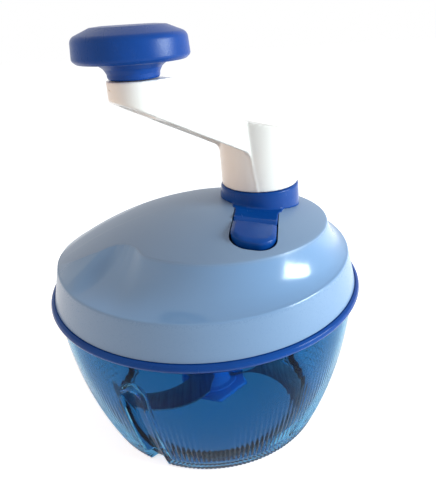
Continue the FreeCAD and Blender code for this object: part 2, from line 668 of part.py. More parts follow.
def gear_disc(name, teeth, turn, axis, bottom, width):
    """A spur gear with a tooth centred on the direction turn."""
    module = s.tooth_module.value
    count = int(round(number(teeth)))
    pitch = module * count / 2
    base = pitch * math.cos(math.radians(20))
    tip = pitch + module
    root = pitch - 1.25 * module
    half_tooth = math.pi / (2 * count) - s.backlash.value / (4 * pitch) + involute(math.radians(20))
    start = max(base, root)
    steps = 5
    flank = []
    for step in range(steps + 1):
        radius = start + (tip - start) * step / steps
        flank.append((radius, half_tooth - involute(math.acos(min(base / radius, 1.0)))))
    edges = []

    def spot(radius, angle):
        return Vector(radius * math.cos(angle), radius * math.sin(angle), 0)

    for tooth in range(count):
        middle = math.radians(turn) + 2 * math.pi * tooth / count
        rising = [spot(radius, middle - angle) for radius, angle in flank]
        falling = [spot(radius, middle + angle) for radius, angle in reversed(flank)]
        foot = flank[0][1]
        following = middle + 2 * math.pi / count - foot
        if root < start:
            edges.append(Part.makeLine(spot(root, middle - foot), rising[0]))
        for points in (rising, falling):
            curve = Part.BSplineCurve()
            curve.interpolate(points)
            if points is falling:
                edges.append(Part.Arc(rising[-1], spot(tip, middle), falling[0]).toShape())
            edges.append(curve.toShape())
        if root < start:
            edges.append(Part.makeLine(falling[-1], spot(root, middle + foot)))
        edges.append(Part.Arc(spot(root, middle + foot), spot(root, (middle + foot + following) / 2),
                              spot(root, following)).toShape())
    disc = Part.Face(Part.Wire(edges)).extrude(Vector(0, 0, number(width)))
    thing = doc.addObject("Part::Feature", name)
    thing.Shape = disc
    return place(thing, (*axis, bottom))


def make_drive():
    to_pinion = number(s.crank_azimuth) + 180
    disc = gear_disc("crank_gear_disc", s.crank_teeth, to_pinion, crank_axis, s.gear_bottom, s.gear_width)
    hub_top = s.spigot_bottom - s.thrust_gap
    hub = cylinder("crank_gear_hub", s.gear_hub_radius, s.gear_bottom, hub_top, crank_axis)
    flange = cylinder("crank_gear_flange", s.collar_bore + s.spigot_wall / 2, hub_top - s.gear_flange_height,
                      hub_top, crank_axis)
    corner = s.hex_flats / 2 / cosine(30.0)
    bore_corner = (s.hex_flats + s.hex_gap * 2) / 2 / cosine(30.0)
    web_low, web_high = s.gear_bottom + s.web_depth, gear_top - s.web_depth
    hollows = [tube("gear_web_low", s.web_outer, s.web_inner, s.gear_bottom - 1, web_low, crank_axis),
               tube("gear_web_high", s.web_outer, s.web_inner, web_high, gear_top + 1, crank_axis)]
    bore = hexagon("gear_bore", bore_corner, s.gear_bottom - 1, hub_top + 1, crank_axis, s.crank_angle)
    keep(cut("drive_gear_whole", fuse("drive_gear_solid", disc, hub, flange), bore, *hollows), "drive_gear")
    journal = cylinder("spindle_journal", s.journal_radius - s.run_gap / 5, base_floor_top - 0.3,
                       s.gear_bottom + 1, crank_axis)
    bar = hexagon("spindle_bar", corner, s.gear_bottom, s.spindle_top, crank_axis, s.crank_angle)
    keep(fuse("spindle_whole", journal, bar), "drive_spindle")

    pinion_turn = number(s.crank_azimuth) + 180 / number(s.pinion_teeth)
    teeth = gear_disc("pinion_disc", s.pinion_teeth, pinion_turn, (0.0, 0.0), s.gear_bottom, s.gear_width)
    shaft = cylinder("pinion_shaft_bar", s.pinion_shaft, s.driver_bottom, bush_top)
    core = cylinder("pinion_core", s.pinion_shaft - s.clip_depth / 2, bush_top - 1, s.gear_bottom + 1)
    clip_top = base_floor_bottom - s.pinion_boss_drop - s.thrust_gap
    clip_inner = s.pinion_shaft - s.clip_depth
    groove = tube("pinion_clip_groove", s.pinion_shaft + 1, clip_inner, clip_top - s.clip_width, clip_top)
    socket = primitive("Part::Box", "pinion_socket", {
        "Length": s.drive_square + s.square_gap * 2, "Width": s.drive_square + s.square_gap * 2,
        "Height": s.drive_length + 2}, square_corner(s.drive_square / 2 + s.square_gap, s.driver_bottom - 1),
        s.blade_angle)
    keep(cut("pinion_whole", fuse("pinion_solid", teeth, shaft, core), groove, socket), "pinion")
    keep(tube("pinion_clip", s.pinion_shaft + s.clip_reach, clip_inner, clip_top - s.clip_width, clip_top),
         "pinion_clip")


def square_corner(half, bottom):
    """Lowest corner of a square bar on the bowl axis that is turned with the blades."""
    turn = s.blade_angle
    return (half * sine(turn) - half * cosine(turn), -half * sine(turn) - half * cosine(turn), bottom)


# Crank: a round hub that sits on the hexagon, and an arm, hollow from below, that climbs to the knob

def make_crank():
    tip = s.crank_reach + s.arm_half_knob - s.arm_tip_flat
    lean_foot = s.face_reach
    corner_reach = ((lean_foot + s.face_slope * (s.underside_start - hub_bottom))
                    / (1 - s.face_slope * s.arm_slope))
    corner_height = s.underside_start + s.arm_slope * corner_reach
    fillet = s.underside_fillet * 0.62
    crown_start = s.face_reach
    top_line = s.underside_start + s.arm_thickness
    side = pad("crank_side", "XZ_Plane", [
        (-s.hub_radius - s.hub_back_reach, hub_bottom),
        (lean_foot, hub_bottom),
        (corner_reach - s.face_slope * fillet, corner_height - fillet, s.underside_fillet, -1),
        (corner_reach + fillet, corner_height + s.arm_slope * fillet),
        (tip, s.underside_start + s.arm_slope * tip),
        (tip, s.post_top),
        (boss_back, s.post_top),
        (boss_back, top_line + s.arm_slope * boss_back),
        (crown_start, top_line + s.arm_slope * crown_start, s.hub_radius * 2.2, 1),
        (-s.hub_radius - s.hub_back_reach, s.hub_back_height),
    ], s.hub_radius * 2.3, (*crank_axis, 0.0), s.crank_angle, both_ways=True)
    plan = pad("crank_plan", "XY_Plane", [
        (0.0, -s.arm_half_hub),
        (s.crank_reach, -s.arm_half_knob, None, 1),
        (s.crank_reach, s.arm_half_knob),
        (0.0, s.arm_half_hub),
    ], s.post_top - hub_bottom + 2, (*crank_axis, hub_bottom - 1), s.crank_angle)
    hollow_end = boss_back + s.arm_wall
    hollow_top = top_line - s.arm_skin
    hollow_half = s.arm_half_hub - s.arm_wall
    end_half = hollow_half + (s.arm_half_knob - s.arm_half_hub) / s.crank_reach * hollow_end
    hollow_side = pad("hollow_side", "XZ_Plane", [
        (0.0, hub_bottom - 1),
        (hollow_end, hub_bottom - 1),
        (hollow_end, hollow_top + s.arm_slope * hollow_end),
        (0.0, hollow_top),
    ], s.hub_radius * 2.2, (*crank_axis, 0.0), s.crank_angle, both_ways=True)
    hollow_plan = pad("hollow_plan", "XY_Plane", [
        (0.0, -hollow_half),
        (hollow_end, -end_half),
        (hollow_end, end_half),
        (0.0, hollow_half),
    ], s.post_top - hub_bottom + 4, (*crank_axis, hub_bottom - 2), s.crank_angle)
    arm = cut("arm_shell", common("arm_solid", side, plan), common("arm_hollow", hollow_side, hollow_plan))
    hub_side = pad("hub_side", "XZ_Plane", [
        (-s.hub_radius - s.hub_back_reach, hub_bottom),
        (s.hub_radius + s.hub_back_reach, hub_bottom),
        (s.hub_radius + s.hub_back_reach, top_line + s.arm_slope * (s.hub_radius + s.hub_back_reach)),
        (crown_start, top_line + s.arm_slope * crown_start, s.hub_radius * 2.2, 1),
        (-s.hub_radius - s.hub_back_reach, s.hub_back_height),
    ], s.hub_radius * 2.1, (*crank_axis, 0.0), s.crank_angle, both_ways=True)
    hub = common("hub_solid", cone("hub_cone", s.hub_radius, s.hub_radius + s.hub_flare, hub_bottom,
                                   s.post_top, crank_axis), hub_side)
    spigot = cylinder("crank_spigot", s.collar_bore - s.run_gap, s.crank_spigot_bottom, hub_bottom + 1,
                      crank_axis)
    catch = tube("catch_groove", s.collar_bore + 1, s.collar_bore - s.run_gap - s.catch_depth,
                 s.catch_bottom, s.catch_bottom + s.catch_height, crank_axis)
    socket_corner = (s.hex_flats + s.hex_gap * 2) / 2 / cosine(30.0)
    socket = hexagon("crank_socket", socket_corner, s.crank_spigot_bottom - 1, s.socket_top, crank_axis,
                     s.crank_angle)
    below = s.underside_start + s.arm_slope * (s.crank_reach - s.pocket_radius * 2)
    bore = cylinder("knob_bore", s.spindle_radius + s.run_gap, below, s.post_top + 1, knob_axis)
    pocket = cylinder("retainer_pocket", s.pocket_radius, below,
                      s.retainer_height + s.retainer_width + s.retainer_gap, knob_axis)
    solid = fuse("crank_solid", arm, hub, spigot)
    keep(cut("crank_whole", solid, catch, socket, bore, pocket), "crank_arm")


def make_knob():
    bottom = s.post_top + s.knob_gap
    body = turned("knob_body", [
        (s.spindle_radius, bottom),
        (s.neck_radius, bottom, s.neck_curve, -1),
        (s.knob_flare, s.knob_under),
        (s.knob_radius - s.brim_edge, s.knob_under),
        (s.knob_radius, s.brim_height),
        (s.knob_upper, s.knob_edge),
        (s.knob_upper - s.crown_edge_inset, s.knob_edge + s.crown_edge),
        (s.knob_crown, s.knob_top),
        (0.0, s.knob_top),
        (0.0, s.spindle_depth),
        (s.spindle_radius, s.spindle_depth),
    ], (*knob_axis, 0.0))
    keep(body, "knob")
    low = s.retainer_height
    groove = s.spindle_radius - s.retainer_groove
    keep(turned("knob_spindle_bar", [
        (0.0, low - s.spindle_tip),
        (s.spindle_radius, low - s.spindle_tip),
        (s.spindle_radius, low),
        (groove, low),
        (groove, low + s.retainer_width),
        (s.spindle_radius, low + s.retainer_width),
        (s.spindle_radius, s.spindle_depth),
        (0.0, s.spindle_depth),
    ], (*knob_axis, 0.0)), "knob_spindle")
    keep(tube("knob_clip", s.retainer_radius, groove, low, low + s.retainer_width, knob_axis),
         "knob_retainer")


# Blade unit: a column with a six-cornered foot plate, three curved blades and a bush for the bowl's pin

def blade(name, index):
    reach = s.blade_reach + s.blade_step * index
    tip = (reach * cosine(s.blade_sweep_angle), -reach * sine(s.blade_sweep_angle))
    bottom = s.blade_first + s.blade_pitch * index
    return pad(name, "XY_Plane", [
        (s.blade_root, -s.blade_root_half),
        (reach * 0.37, -s.blade_root_half, reach * 0.45, -1),
        (tip[0] - 1, tip[1]),
        (tip[0], tip[1], reach * 0.53, 1),
        (reach * 0.5, s.blade_root_half * 1.5),
        (s.blade_root, s.blade_root_half),
    ], s.blade_sheet, (0.0, 0.0, bottom), s.blade_angle + s.blade_spacing_angle * index)


def make_blade_unit():
    names = ("lower_blade", "middle_blade", "upper_blade")
    blades = [keep(blade(f"{name}_sheet", index), name) for index, name in enumerate(names)]
    plate = hexagon("foot_plate", s.flange_corner, s.flange_bottom, flange_top, turn=s.blade_angle * 4)
    foot = cone("column_foot", s.column_foot_radius, s.column_radius, flange_top - 0.5,
                flange_top + s.column_foot_height)
    column = cylinder("column", s.column_radius, s.flange_bottom, s.column_top)
    square = primitive("Part::Box", "drive_square_bar", {
        "Length": s.drive_square, "Width": s.drive_square, "Height": s.drive_length + 1},
        square_corner(s.drive_square / 2, s.column_top - 1), s.blade_angle)
    bush_outer = s.pin_radius + s.run_gap + s.blade_bush_wall
    bore_top = s.boss_top + s.carrier_bore_gap
    foot_bore = cylinder("boss_room", s.boss_radius + s.carrier_bore_gap, s.flange_bottom - 1, bore_top)
    bush_bore = cylinder("bush_room", bush_outer, bore_top - 1, s.pin_top + s.run_gap)
    solid = fuse("carrier_solid", plate, foot, column, square)
    keep(cut("carrier_whole", solid, foot_bore, bush_bore, *blades), "blade_carrier")
    keep(tube("blade_bush_ring", bush_outer, s.pin_radius + s.run_gap, bore_top, s.pin_top + s.run_gap),
         "blade_bush")


make_bowl()
make_cover_base()
make_cover_screws()
make_cover_shell()
make_collar()
make_release_key()
make_drive()
make_crank()
make_knob()
make_blade_unit()
doc.recompute()

for thing in doc.Objects:
    if "Invalid" in thing.State or "Error" in thing.State:
        raise RuntimeError(f"{thing.Name} did not rebuild: {thing.State}")
for thing in nodes:
    if thing.Shape.isNull() or not thing.Shape.isValid() or not thing.Shape.Solids:
        raise RuntimeError(f"{thing.Label} has no valid solid")
os.makedirs("parts", exist_ok=True)
for thing in nodes:
    thing.Shape.exportStep(f"parts/{thing.Label}.step")
    print(thing.Label, len(thing.Shape.Solids), "solid", round(thing.Shape.Volume), "cubic mm")
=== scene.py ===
import json
import math

import bpy
from mathutils import Matrix, Vector


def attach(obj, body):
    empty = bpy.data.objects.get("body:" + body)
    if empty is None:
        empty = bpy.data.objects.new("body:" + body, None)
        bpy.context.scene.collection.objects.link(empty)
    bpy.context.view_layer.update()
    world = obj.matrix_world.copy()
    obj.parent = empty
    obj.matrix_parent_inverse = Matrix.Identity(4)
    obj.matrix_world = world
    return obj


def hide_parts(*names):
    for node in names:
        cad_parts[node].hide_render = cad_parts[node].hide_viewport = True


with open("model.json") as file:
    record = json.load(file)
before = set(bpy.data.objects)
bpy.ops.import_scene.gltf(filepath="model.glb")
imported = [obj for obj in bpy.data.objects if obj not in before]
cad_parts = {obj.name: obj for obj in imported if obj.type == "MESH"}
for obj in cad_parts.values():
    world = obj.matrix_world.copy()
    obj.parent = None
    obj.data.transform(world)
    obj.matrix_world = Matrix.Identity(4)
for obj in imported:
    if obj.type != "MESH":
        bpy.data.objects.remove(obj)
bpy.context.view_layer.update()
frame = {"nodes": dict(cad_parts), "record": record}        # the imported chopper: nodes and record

nodes = frame["nodes"]
mm = 0.001

# Places shared by several pieces, in millimetres and degrees
layout = {
    "crankDistance": 33.0, "crankAzimuth": 7.1, "crankReach": 67.1, "crankTurn": 213.8,
    "tongueTurn": -101.3, "bladeTurn": 10.0, "keyPivot": 24.0, "keyPivotHeight": 104.0,
}


def polar(distance, degrees):
    return distance * math.cos(math.radians(degrees)), distance * math.sin(math.radians(degrees))


crankAxis = polar(layout["crankDistance"], layout["crankAzimuth"])
knobShift = polar(layout["crankReach"], layout["crankTurn"])
knobAxis = (crankAxis[0] + knobShift[0], crankAxis[1] + knobShift[1])


def ease(low, high, value):
    # 0 at low, 1 at high, and smooth in between
    share = min(max((value - low) / (high - low), 0.0), 1.0)
    return share * share * (3 - 2 * share)


# Camera, where the photograph was taken from


def placeCamera():
    view = {"place": (0.0, -0.24774, 0.21535), "tilt": 25.658, "turn": 1.906,
            "roll": -3.476, "lens": 35.376, "near": 0.01}
    tilt, turn, roll = (math.radians(view[key]) for key in ("tilt", "turn", "roll"))
    forward = Vector((math.sin(turn) * math.cos(tilt), math.cos(turn) * math.cos(tilt), -math.sin(tilt)))
    right = Vector((math.cos(turn), -math.sin(turn), 0))
    up = right.cross(forward)
    across = math.cos(roll) * right + math.sin(roll) * up
    upright = -math.sin(roll) * right + math.cos(roll) * up
    facing = Matrix((across, upright, -forward)).transposed().to_4x4()
    bpy.ops.object.camera_add()
    camera = bpy.context.object
    camera.name = "camera"
    camera.matrix_world = Matrix.Translation(view["place"]) @ facing
    camera.data.lens = view["lens"]
    camera.data.clip_start = view["near"]
    bpy.context.scene.camera = camera


placeCamera()
print("camera placed")


# Shader maths: a signal is one socket, and sums of signals add Math nodes


class Signal:
    def __init__(self, finish, socket):
        self.finish = finish
        self.socket = socket

    def maths(self, operation, *values):
        return self.finish.node("Math", {"operation": operation}, dict(enumerate(values)))

    def __add__(self, other):
        return self.maths("ADD", self, other)

    def __radd__(self, other):
        return self.maths("ADD", other, self)

    def __sub__(self, other):
        return self.maths("SUBTRACT", self, other)

    def __rsub__(self, other):
        return self.maths("SUBTRACT", other, self)

    def __mul__(self, other):
        return self.maths("MULTIPLY", self, other)

    def __rmul__(self, other):
        return self.maths("MULTIPLY", other, self)

    def between(self, low, high):
        # 0 below low, 1 above high, and smooth in between
        return self.finish.node("MapRange", {"interpolation_type": "SMOOTHSTEP"},
                                {"Value": self, "From Min": low, "From Max": high})

    def atLeast(self, other):
        return self.maths("MAXIMUM", self, other)


class Finish:
    # the node tree of a material or of the world
    def __init__(self, owner):
        owner.use_nodes = True
        self.owner = owner
        self.tree = owner.node_tree
        self.tree.nodes.clear()

    def node(self, kind, settings=None, values=None, output=0):
        made = self.tree.nodes.new("ShaderNode" + kind)
        for key, value in (settings or {}).items():
            setattr(made, key, value)
        for key, value in (values or {}).items():
            if isinstance(value, Signal):
                self.tree.links.new(value.socket, made.inputs[key])
            else:
                made.inputs[key].default_value = value
        return Signal(self, made.outputs[output]) if len(made.outputs) else None

    def place(self, scale=1.0, turn=0.0):
        # object coordinates, stretched by scale per axis
        if isinstance(scale, (int, float)):
            scale = (scale, scale, scale)
        here = self.node("TexCoord", output="Object")
        rotation = (0, 0, math.radians(turn))
        return self.node("Mapping", {}, {"Vector": here, "Scale": scale, "Rotation": rotation})

    def noise(self, scale, detail=3.0, stretch=1.0, distortion=0.0, turn=0.0):
        return self.node("TexNoise", {}, {
            "Vector": self.place(stretch, turn), "Scale": scale, "Detail": detail,
            "Distortion": distortion})

    def blend(self, share, first, second):
        # sockets 6 and 7 are the Mix node's two colours, and its third output is their mix
        return self.node("Mix", {"data_type": "RGBA"}, {"Factor": share, 6: first, 7: second}, output=2)

    def bump(self, height, strength, distance):
        return self.node("Bump", {}, {"Height": height, "Strength": strength, "Distance": distance})

    def seenRays(self):
        # 1 for the camera's own rays and for those in metal and through glass, 0 for light on the object
        straight = self.node("LightPath", output="Is Camera Ray")
        mirrored = self.node("LightPath", output="Is Glossy Ray")
        through = self.node("LightPath", output="Is Transmission Ray")
        return straight.atLeast(mirrored.atLeast(through))

    def surface(self, **values):
        sockets = {name.replace("_", " "): value for name, value in values.items()}
        shader = self.node("BsdfPrincipled", {}, sockets)
        self.node("OutputMaterial", {}, {"Surface": shader})
        return self.owner


def newFinish(name):
    return Finish(bpy.data.materials.new(name))


def colour(red, green, blue):
    return (red, green, blue, 1.0)


def scuffs(finish, scale=60.0):
    # faint long scratches, 0 to 1
    one = finish.noise(scale, detail=2.0, stretch=(1.0, 14.0, 3.0), turn=23).between(0.62, 0.72)
    two = finish.noise(scale, detail=2.0, stretch=(12.0, 1.0, 3.0), turn=-31).between(0.64, 0.74)
    return one.atLeast(two)


def makeKnobPlastic():
    look = {"deep": colour(0.0016, 0.052, 0.270), "light": colour(0.003, 0.060, 0.310), "rough": 0.30}
    finish = newFinish("satinBlue")
    cloud = finish.noise(45.0, detail=4.0).between(0.35, 0.7)
    grain = finish.noise(2600.0, detail=2.0)
    rub = scuffs(finish, 90.0)
    base = finish.blend(cloud, look["deep"], look["light"])
    base = finish.blend(rub * 0.06, base, colour(0.03, 0.10, 0.38))
    rough = look["rough"] + 0.10 * (grain - 0.5) + 0.06 * cloud - 0.08 * rub
    return finish.surface(Base_Color=base, Roughness=rough, Normal=finish.bump(grain, 0.35, 0.00012),
                          Specular_IOR_Level=0.22, IOR=1.48)


def makeTrimPlastic():
    look = {"deep": colour(0.0016, 0.050, 0.260), "light": colour(0.003, 0.068, 0.320), "rough": 0.17}
    finish = newFinish("glossBlue")
    cloud = finish.noise(30.0, detail=3.0).between(0.3, 0.7)
    fine = finish.noise(900.0, detail=3.0)
    rub = scuffs(finish, 70.0)
    base = finish.blend(cloud, look["deep"], look["light"])
    rough = look["rough"] + 0.05 * fine + 0.10 * rub
    return finish.surface(Base_Color=base, Roughness=rough, Normal=finish.bump(fine, 0.12, 0.00006),
                          Specular_IOR_Level=0.15, IOR=1.5)


def makeCoverPlastic():
    look = {"satin": colour(0.215, 0.315, 0.470), "gloss": colour(0.180, 0.325, 0.550),
            "satinRough": 0.42, "glossRough": 0.17}
    finish = newFinish("greyBlue")
    terrace = finish.node("Attribute", {"attribute_name": "glossy"}, output="Fac")
    cloud = finish.noise(22.0, detail=4.0).between(0.3, 0.75)
    grain = finish.noise(2200.0, detail=2.0)
    rub = scuffs(finish, 50.0)
    base = finish.blend(terrace, look["satin"], look["gloss"])
    base = finish.blend(cloud * 0.12, base, colour(0.24, 0.36, 0.55))
    rough = look["satinRough"] - (look["satinRough"] - look["glossRough"]) * terrace
    rough = rough + 0.06 * (grain - 0.5) + 0.025 * rub
    bump = finish.bump(grain * (1.0 - 0.85 * terrace), 0.22, 0.0001)
    return finish.surface(Base_Color=base, Roughness=rough, Normal=bump, Coat_Weight=terrace * 0.25,
                          Coat_Roughness=0.14, Specular_IOR_Level=0.4, IOR=1.5)


def makeCrankPlastic():
    look = {"cool": colour(0.945, 0.905, 0.850), "warm": colour(0.930, 0.865, 0.795), "rough": 0.26}
    finish = newFinish("warmWhite")
    cloud = finish.noise(28.0, detail=4.0).between(0.35, 0.75)
    fine = finish.noise(1500.0, detail=2.0)
    rub = scuffs(finish, 60.0)
    base = finish.blend(cloud * 0.35, look["cool"], look["warm"])
    base = finish.blend(rub * 0.05, base, colour(0.72, 0.68, 0.64))
    rough = look["rough"] + 0.06 * fine + 0.12 * rub
    return finish.surface(Base_Color=base, Roughness=rough, Normal=finish.bump(fine, 0.10, 0.00008),
                          Coat_Weight=0.2, Coat_Roughness=0.15, IOR=1.49)


def makeClearPlastic():
    look = {"tint": colour(0.105, 0.360, 0.570), "deep": colour(0.075, 0.300, 0.520), "rough": 0.04}
    finish = newFinish("clearTeal")
    height = finish.node("SeparateXYZ", {}, {"Vector": finish.place()}, output="Z")
    # painted shade: the tint deepens towards the bottom of the bowl and stands in for the shade under and inside it
    low = 1.0 - height.between(0.0, 0.060)
    rub = scuffs(finish, 40.0)
    base = finish.blend(low * 0.6, look["tint"], look["deep"])
    rough = look["rough"] + 0.10 * rub * low
    return finish.surface(Base_Color=base, Roughness=rough, Transmission_Weight=1.0, IOR=1.12)


def makeAzurePlastic():
    look = {"deep": colour(0.020, 0.300, 0.780), "light": colour(0.060, 0.420, 0.900), "rough": 0.20}
    finish = newFinish("azure")
    cloud = finish.noise(60.0, detail=3.0).between(0.3, 0.7)
    fine = finish.noise(1300.0, detail=2.0)
    return finish.surface(Base_Color=finish.blend(cloud, look["deep"], look["light"]),
                          Roughness=look["rough"] + 0.06 * fine, Normal=finish.bump(fine, 0.1, 0.00006),
                          Coat_Weight=0.3, Coat_Roughness=0.1, IOR=1.5)


def makeBladeSteel():
    look = {"dark": colour(0.36, 0.37, 0.39), "light": colour(0.58, 0.59, 0.61), "rough": 0.26}
    finish = newFinish("groundSteel")
    lines = finish.noise(900.0, detail=2.0, stretch=(1.0, 0.04, 1.0), turn=17)
    cloud = finish.noise(80.0, detail=4.0).between(0.3, 0.75)
    share = lines.between(0.35, 0.7) * 0.6 + cloud * 0.4
    return finish.surface(Base_Color=finish.blend(share, look["dark"], look["light"]), Metallic=1.0,
                          Roughness=look["rough"] + 0.14 * lines, Normal=finish.bump(lines, 0.2, 0.00003))


def makePinSteel():
    look = {"dark": colour(0.42, 0.43, 0.45), "light": colour(0.66, 0.67, 0.69), "rough": 0.28}
    finish = newFinish("turnedSteel")
    rings = finish.noise(1800.0, detail=2.0, stretch=(0.05, 0.05, 1.0))
    cloud = finish.noise(150.0, detail=3.0).between(0.3, 0.7)
    return finish.surface(Base_Color=finish.blend(rings * 0.6 + cloud * 0.4, look["dark"], look["light"]),
                          Metallic=1.0, Roughness=look["rough"] + 0.12 * rings,
                          Normal=finish.bump(rings, 0.25, 0.00003))


def makeGearNylon():
    look = {"pale": colour(0.74, 0.73, 0.68), "shade": colour(0.60, 0.59, 0.54), "rough": 0.45}
    finish = newFinish("paleNylon")
    cloud = finish.noise(70.0, detail=4.0).between(0.4, 0.75)
    grease = finish.noise(38.0, detail=5.0, distortion=0.6).between(0.58, 0.66)
    fine = finish.noise(1400.0, detail=2.0)
    base = finish.blend(cloud, look["pale"], look["shade"])
    return finish.surface(Base_Color=base, Roughness=look["rough"] + 0.1 * fine - 0.22 * grease,
                          Normal=finish.bump(fine, 0.15, 0.00008), IOR=1.5)


def makeBushPlastic():
    look = {"dark": colour(0.060, 0.064, 0.072), "light": colour(0.110, 0.115, 0.125), "rough": 0.5}
    finish = newFinish("greyBush")
    fleck = finish.noise(700.0, detail=3.0).between(0.45, 0.65)
    return finish.surface(Base_Color=finish.blend(fleck, look["dark"], look["light"]),
                          Roughness=look["rough"] - 0.12 * fleck, Normal=finish.bump(fleck, 0.15, 0.00006))


def makeFootRubber():
    look = {"dark": colour(0.020, 0.075, 0.170), "dust": colour(0.070, 0.150, 0.270), "rough": 0.72}
    finish = newFinish("footRubber")
    dust = finish.noise(90.0, detail=5.0).between(0.45, 0.75)
    pores = finish.noise(1100.0, detail=3.0)
    return finish.surface(Base_Color=finish.blend(dust * 0.5, look["dark"], look["dust"]),
                          Roughness=look["rough"] + 0.12 * pores, Normal=finish.bump(pores, 0.4, 0.0001))


finishes = {
    "bowl_clear": makeClearPlastic(), "cover_grey_blue": makeCoverPlastic(), "trim_blue": makeTrimPlastic(),
    "knob_blue": makeKnobPlastic(), "crank_white": makeCrankPlastic(), "carrier_azure": makeAzurePlastic(),
    "gear_white": makeGearNylon(), "bush_grey": makeBushPlastic(), "blade_steel": makeBladeSteel(),
    "pin_steel": makePinSteel(), "foot_rubber": makeFootRubber(),
}
print("materials made")


# Modelling by hand: what every piece uses


def choose(*pieces):
    if bpy.context.object and bpy.context.object.mode != "OBJECT":
        bpy.ops.object.mode_set(mode="OBJECT")
    bpy.ops.object.select_all(action="DESELECT")
    for piece in pieces:
        piece.select_set(True)
    bpy.context.view_layer.objects.active = pieces[-1] if pieces else None


def cleanUp(piece):
    # merges doubles and turns every face outwards
    mergeGap = 2e-6
    choose(piece)
    bpy.ops.object.mode_set(mode="EDIT")
    bpy.ops.mesh.select_all(action="SELECT")
    bpy.ops.mesh.remove_doubles(threshold=mergeGap)
    bpy.ops.mesh.delete_loose(use_verts=True, use_edges=True, use_faces=False)
    bpy.ops.mesh.select_all(action="SELECT")
    bpy.ops.mesh.normals_make_consistent(inside=False)
    bpy.ops.object.mode_set(mode="OBJECT")


def modify(piece, kind, **settings):
    choose(piece)
    modifier = piece.modifiers.new(kind.lower(), kind)
    for key, value in settings.items():
        setattr(modifier, key, value)
    bpy.ops.object.modifier_apply(modifier=modifier.name)


def softenEdges(piece, width, degrees, segments=2):
    modify(piece, "BEVEL", width=width * mm, segments=segments, limit_method="ANGLE",
           angle_limit=math.radians(degrees))


def finishPiece(piece, name, body, slot, replaced, degrees):
    choose(piece)
    bpy.ops.object.shade_smooth_by_angle(angle=math.radians(degrees))
    piece.name = name
    piece.data.name = name
    piece.data.materials.clear()
    piece.data.materials.append(finishes[slot])
    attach(piece, body)
    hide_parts(*replaced)


def wrapGrid(name, columns, rows, place):
    # a flat grid is laid over the form: place(u, v) gives millimetres, u round the form and v along it
    choose()
    bpy.ops.mesh.primitive_grid_add(x_subdivisions=columns, y_subdivisions=rows, size=2)
    piece = bpy.context.object
    piece.name = name
    for vertex in piece.data.vertices:
        vertex.co = Vector(place((vertex.co.x + 1) / 2, (vertex.co.y + 1) / 2)) * mm
    return piece


def softLine(corners, steps=4):
    # corners of a section are (radius, height) or (radius, height, rounding)
    mostReach = 0.49        # of the side beside a corner
    points = []
    for index, corner in enumerate(corners):
        here = Vector(corner[:2])
        if len(corner) < 3 or index in (0, len(corners) - 1):
            points.append(here)
            continue
        back = Vector(corners[index - 1][:2]) - here
        ahead = Vector(corners[index + 1][:2]) - here
        angle = back.angle(ahead)
        reach = corner[2] / math.tan(angle / 2)
        reach = min(reach, back.length * mostReach, ahead.length * mostReach)
        radius = reach * math.tan(angle / 2)
        inwards = (back.normalized() + ahead.normalized()).normalized()
        middle = here + inwards * radius / math.sin(angle / 2)
        start = here + back.normalized() * reach - middle
        swing = math.pi - angle
        side = 1 if start.x * (ahead.y - back.y) - start.y * (ahead.x - back.x) > 0 else -1
        for step in range(steps + 1):
            turn = side * swing * step / steps
            points.append(middle + Vector((start.x * math.cos(turn) - start.y * math.sin(turn),
                                           start.x * math.sin(turn) + start.y * math.cos(turn))))
    return points


def turnPiece(name, section, centre=(0.0, 0.0), steps=128):
    # a loop is moved onto the section and spun about its axis
    choose()
    bpy.ops.mesh.primitive_circle_add(vertices=len(section), fill_type="NOTHING")
    piece = bpy.context.object
    piece.name = name
    for vertex, point in zip(piece.data.vertices, section):
        vertex.co = Vector((centre[0] + point[0], centre[1], point[1])) * mm
    bpy.ops.object.mode_set(mode="EDIT")
    bpy.ops.mesh.select_all(action="SELECT")
    bpy.ops.mesh.spin(steps=steps, angle=2 * math.pi, axis=(0, 0, 1),
                      center=(centre[0] * mm, centre[1] * mm, 0))
    bpy.ops.object.mode_set(mode="OBJECT")
    cleanUp(piece)
    return piece


def prism(name, outline, lift, low, high):
    # an outline of two numbers a point, lifted to low and extruded to high along the axis that is left
    axis = {"x": 0, "y": 1, "z": 2}[lift]
    others = [index for index in range(3) if index != axis]
    choose()
    bpy.ops.mesh.primitive_circle_add(vertices=len(outline), fill_type="NGON")
    piece = bpy.context.object
    piece.name = name
    for vertex, point in zip(piece.data.vertices, outline):
        place = [0.0, 0.0, 0.0]
        place[axis] = low * mm
        place[others[0]] = point[0] * mm
        place[others[1]] = point[1] * mm
        vertex.co = place
    push = [0.0, 0.0, 0.0]
    push[axis] = (high - low) * mm
    bpy.ops.object.mode_set(mode="EDIT")
    bpy.ops.mesh.select_all(action="SELECT")
    bpy.ops.mesh.extrude_region_move(TRANSFORM_OT_translate={"value": push})
    bpy.ops.object.mode_set(mode="OBJECT")
    cleanUp(piece)
    return piece


def combine(base, tool, operation):
    choose(base)
    modifier = base.modifiers.new("combine", "BOOLEAN")
    modifier.operation = operation
    modifier.solver = "EXACT"
    modifier.object = tool
    bpy.ops.object.modifier_apply(modifier=modifier.name)
    bpy.data.objects.remove(tool)
    return base


def joinPieces(*pieces):
    choose(*pieces)
    bpy.ops.object.join()
    return bpy.context.object


def moulded(piece, grain, rounds):
    # an even mesh whose edges are then softened as in a mould
    modify(piece, "REMESH", mode="VOXEL", voxel_size=grain * mm, use_smooth_shade=True)
    modify(piece, "SMOOTH", factor=0.5, iterations=rounds)


def moveTo(piece, at, degrees):
    piece.data.transform(Matrix.Translation((at[0] * mm, at[1] * mm, 0))
                         @ Matrix.Rotation(math.radians(degrees), 4, "Z"))
    return piece


def ontoTongue(piece):
    # from the crank's axis along the neck and the key
    return moveTo(piece, crankAxis, layout["tongueTurn"])


# Cover

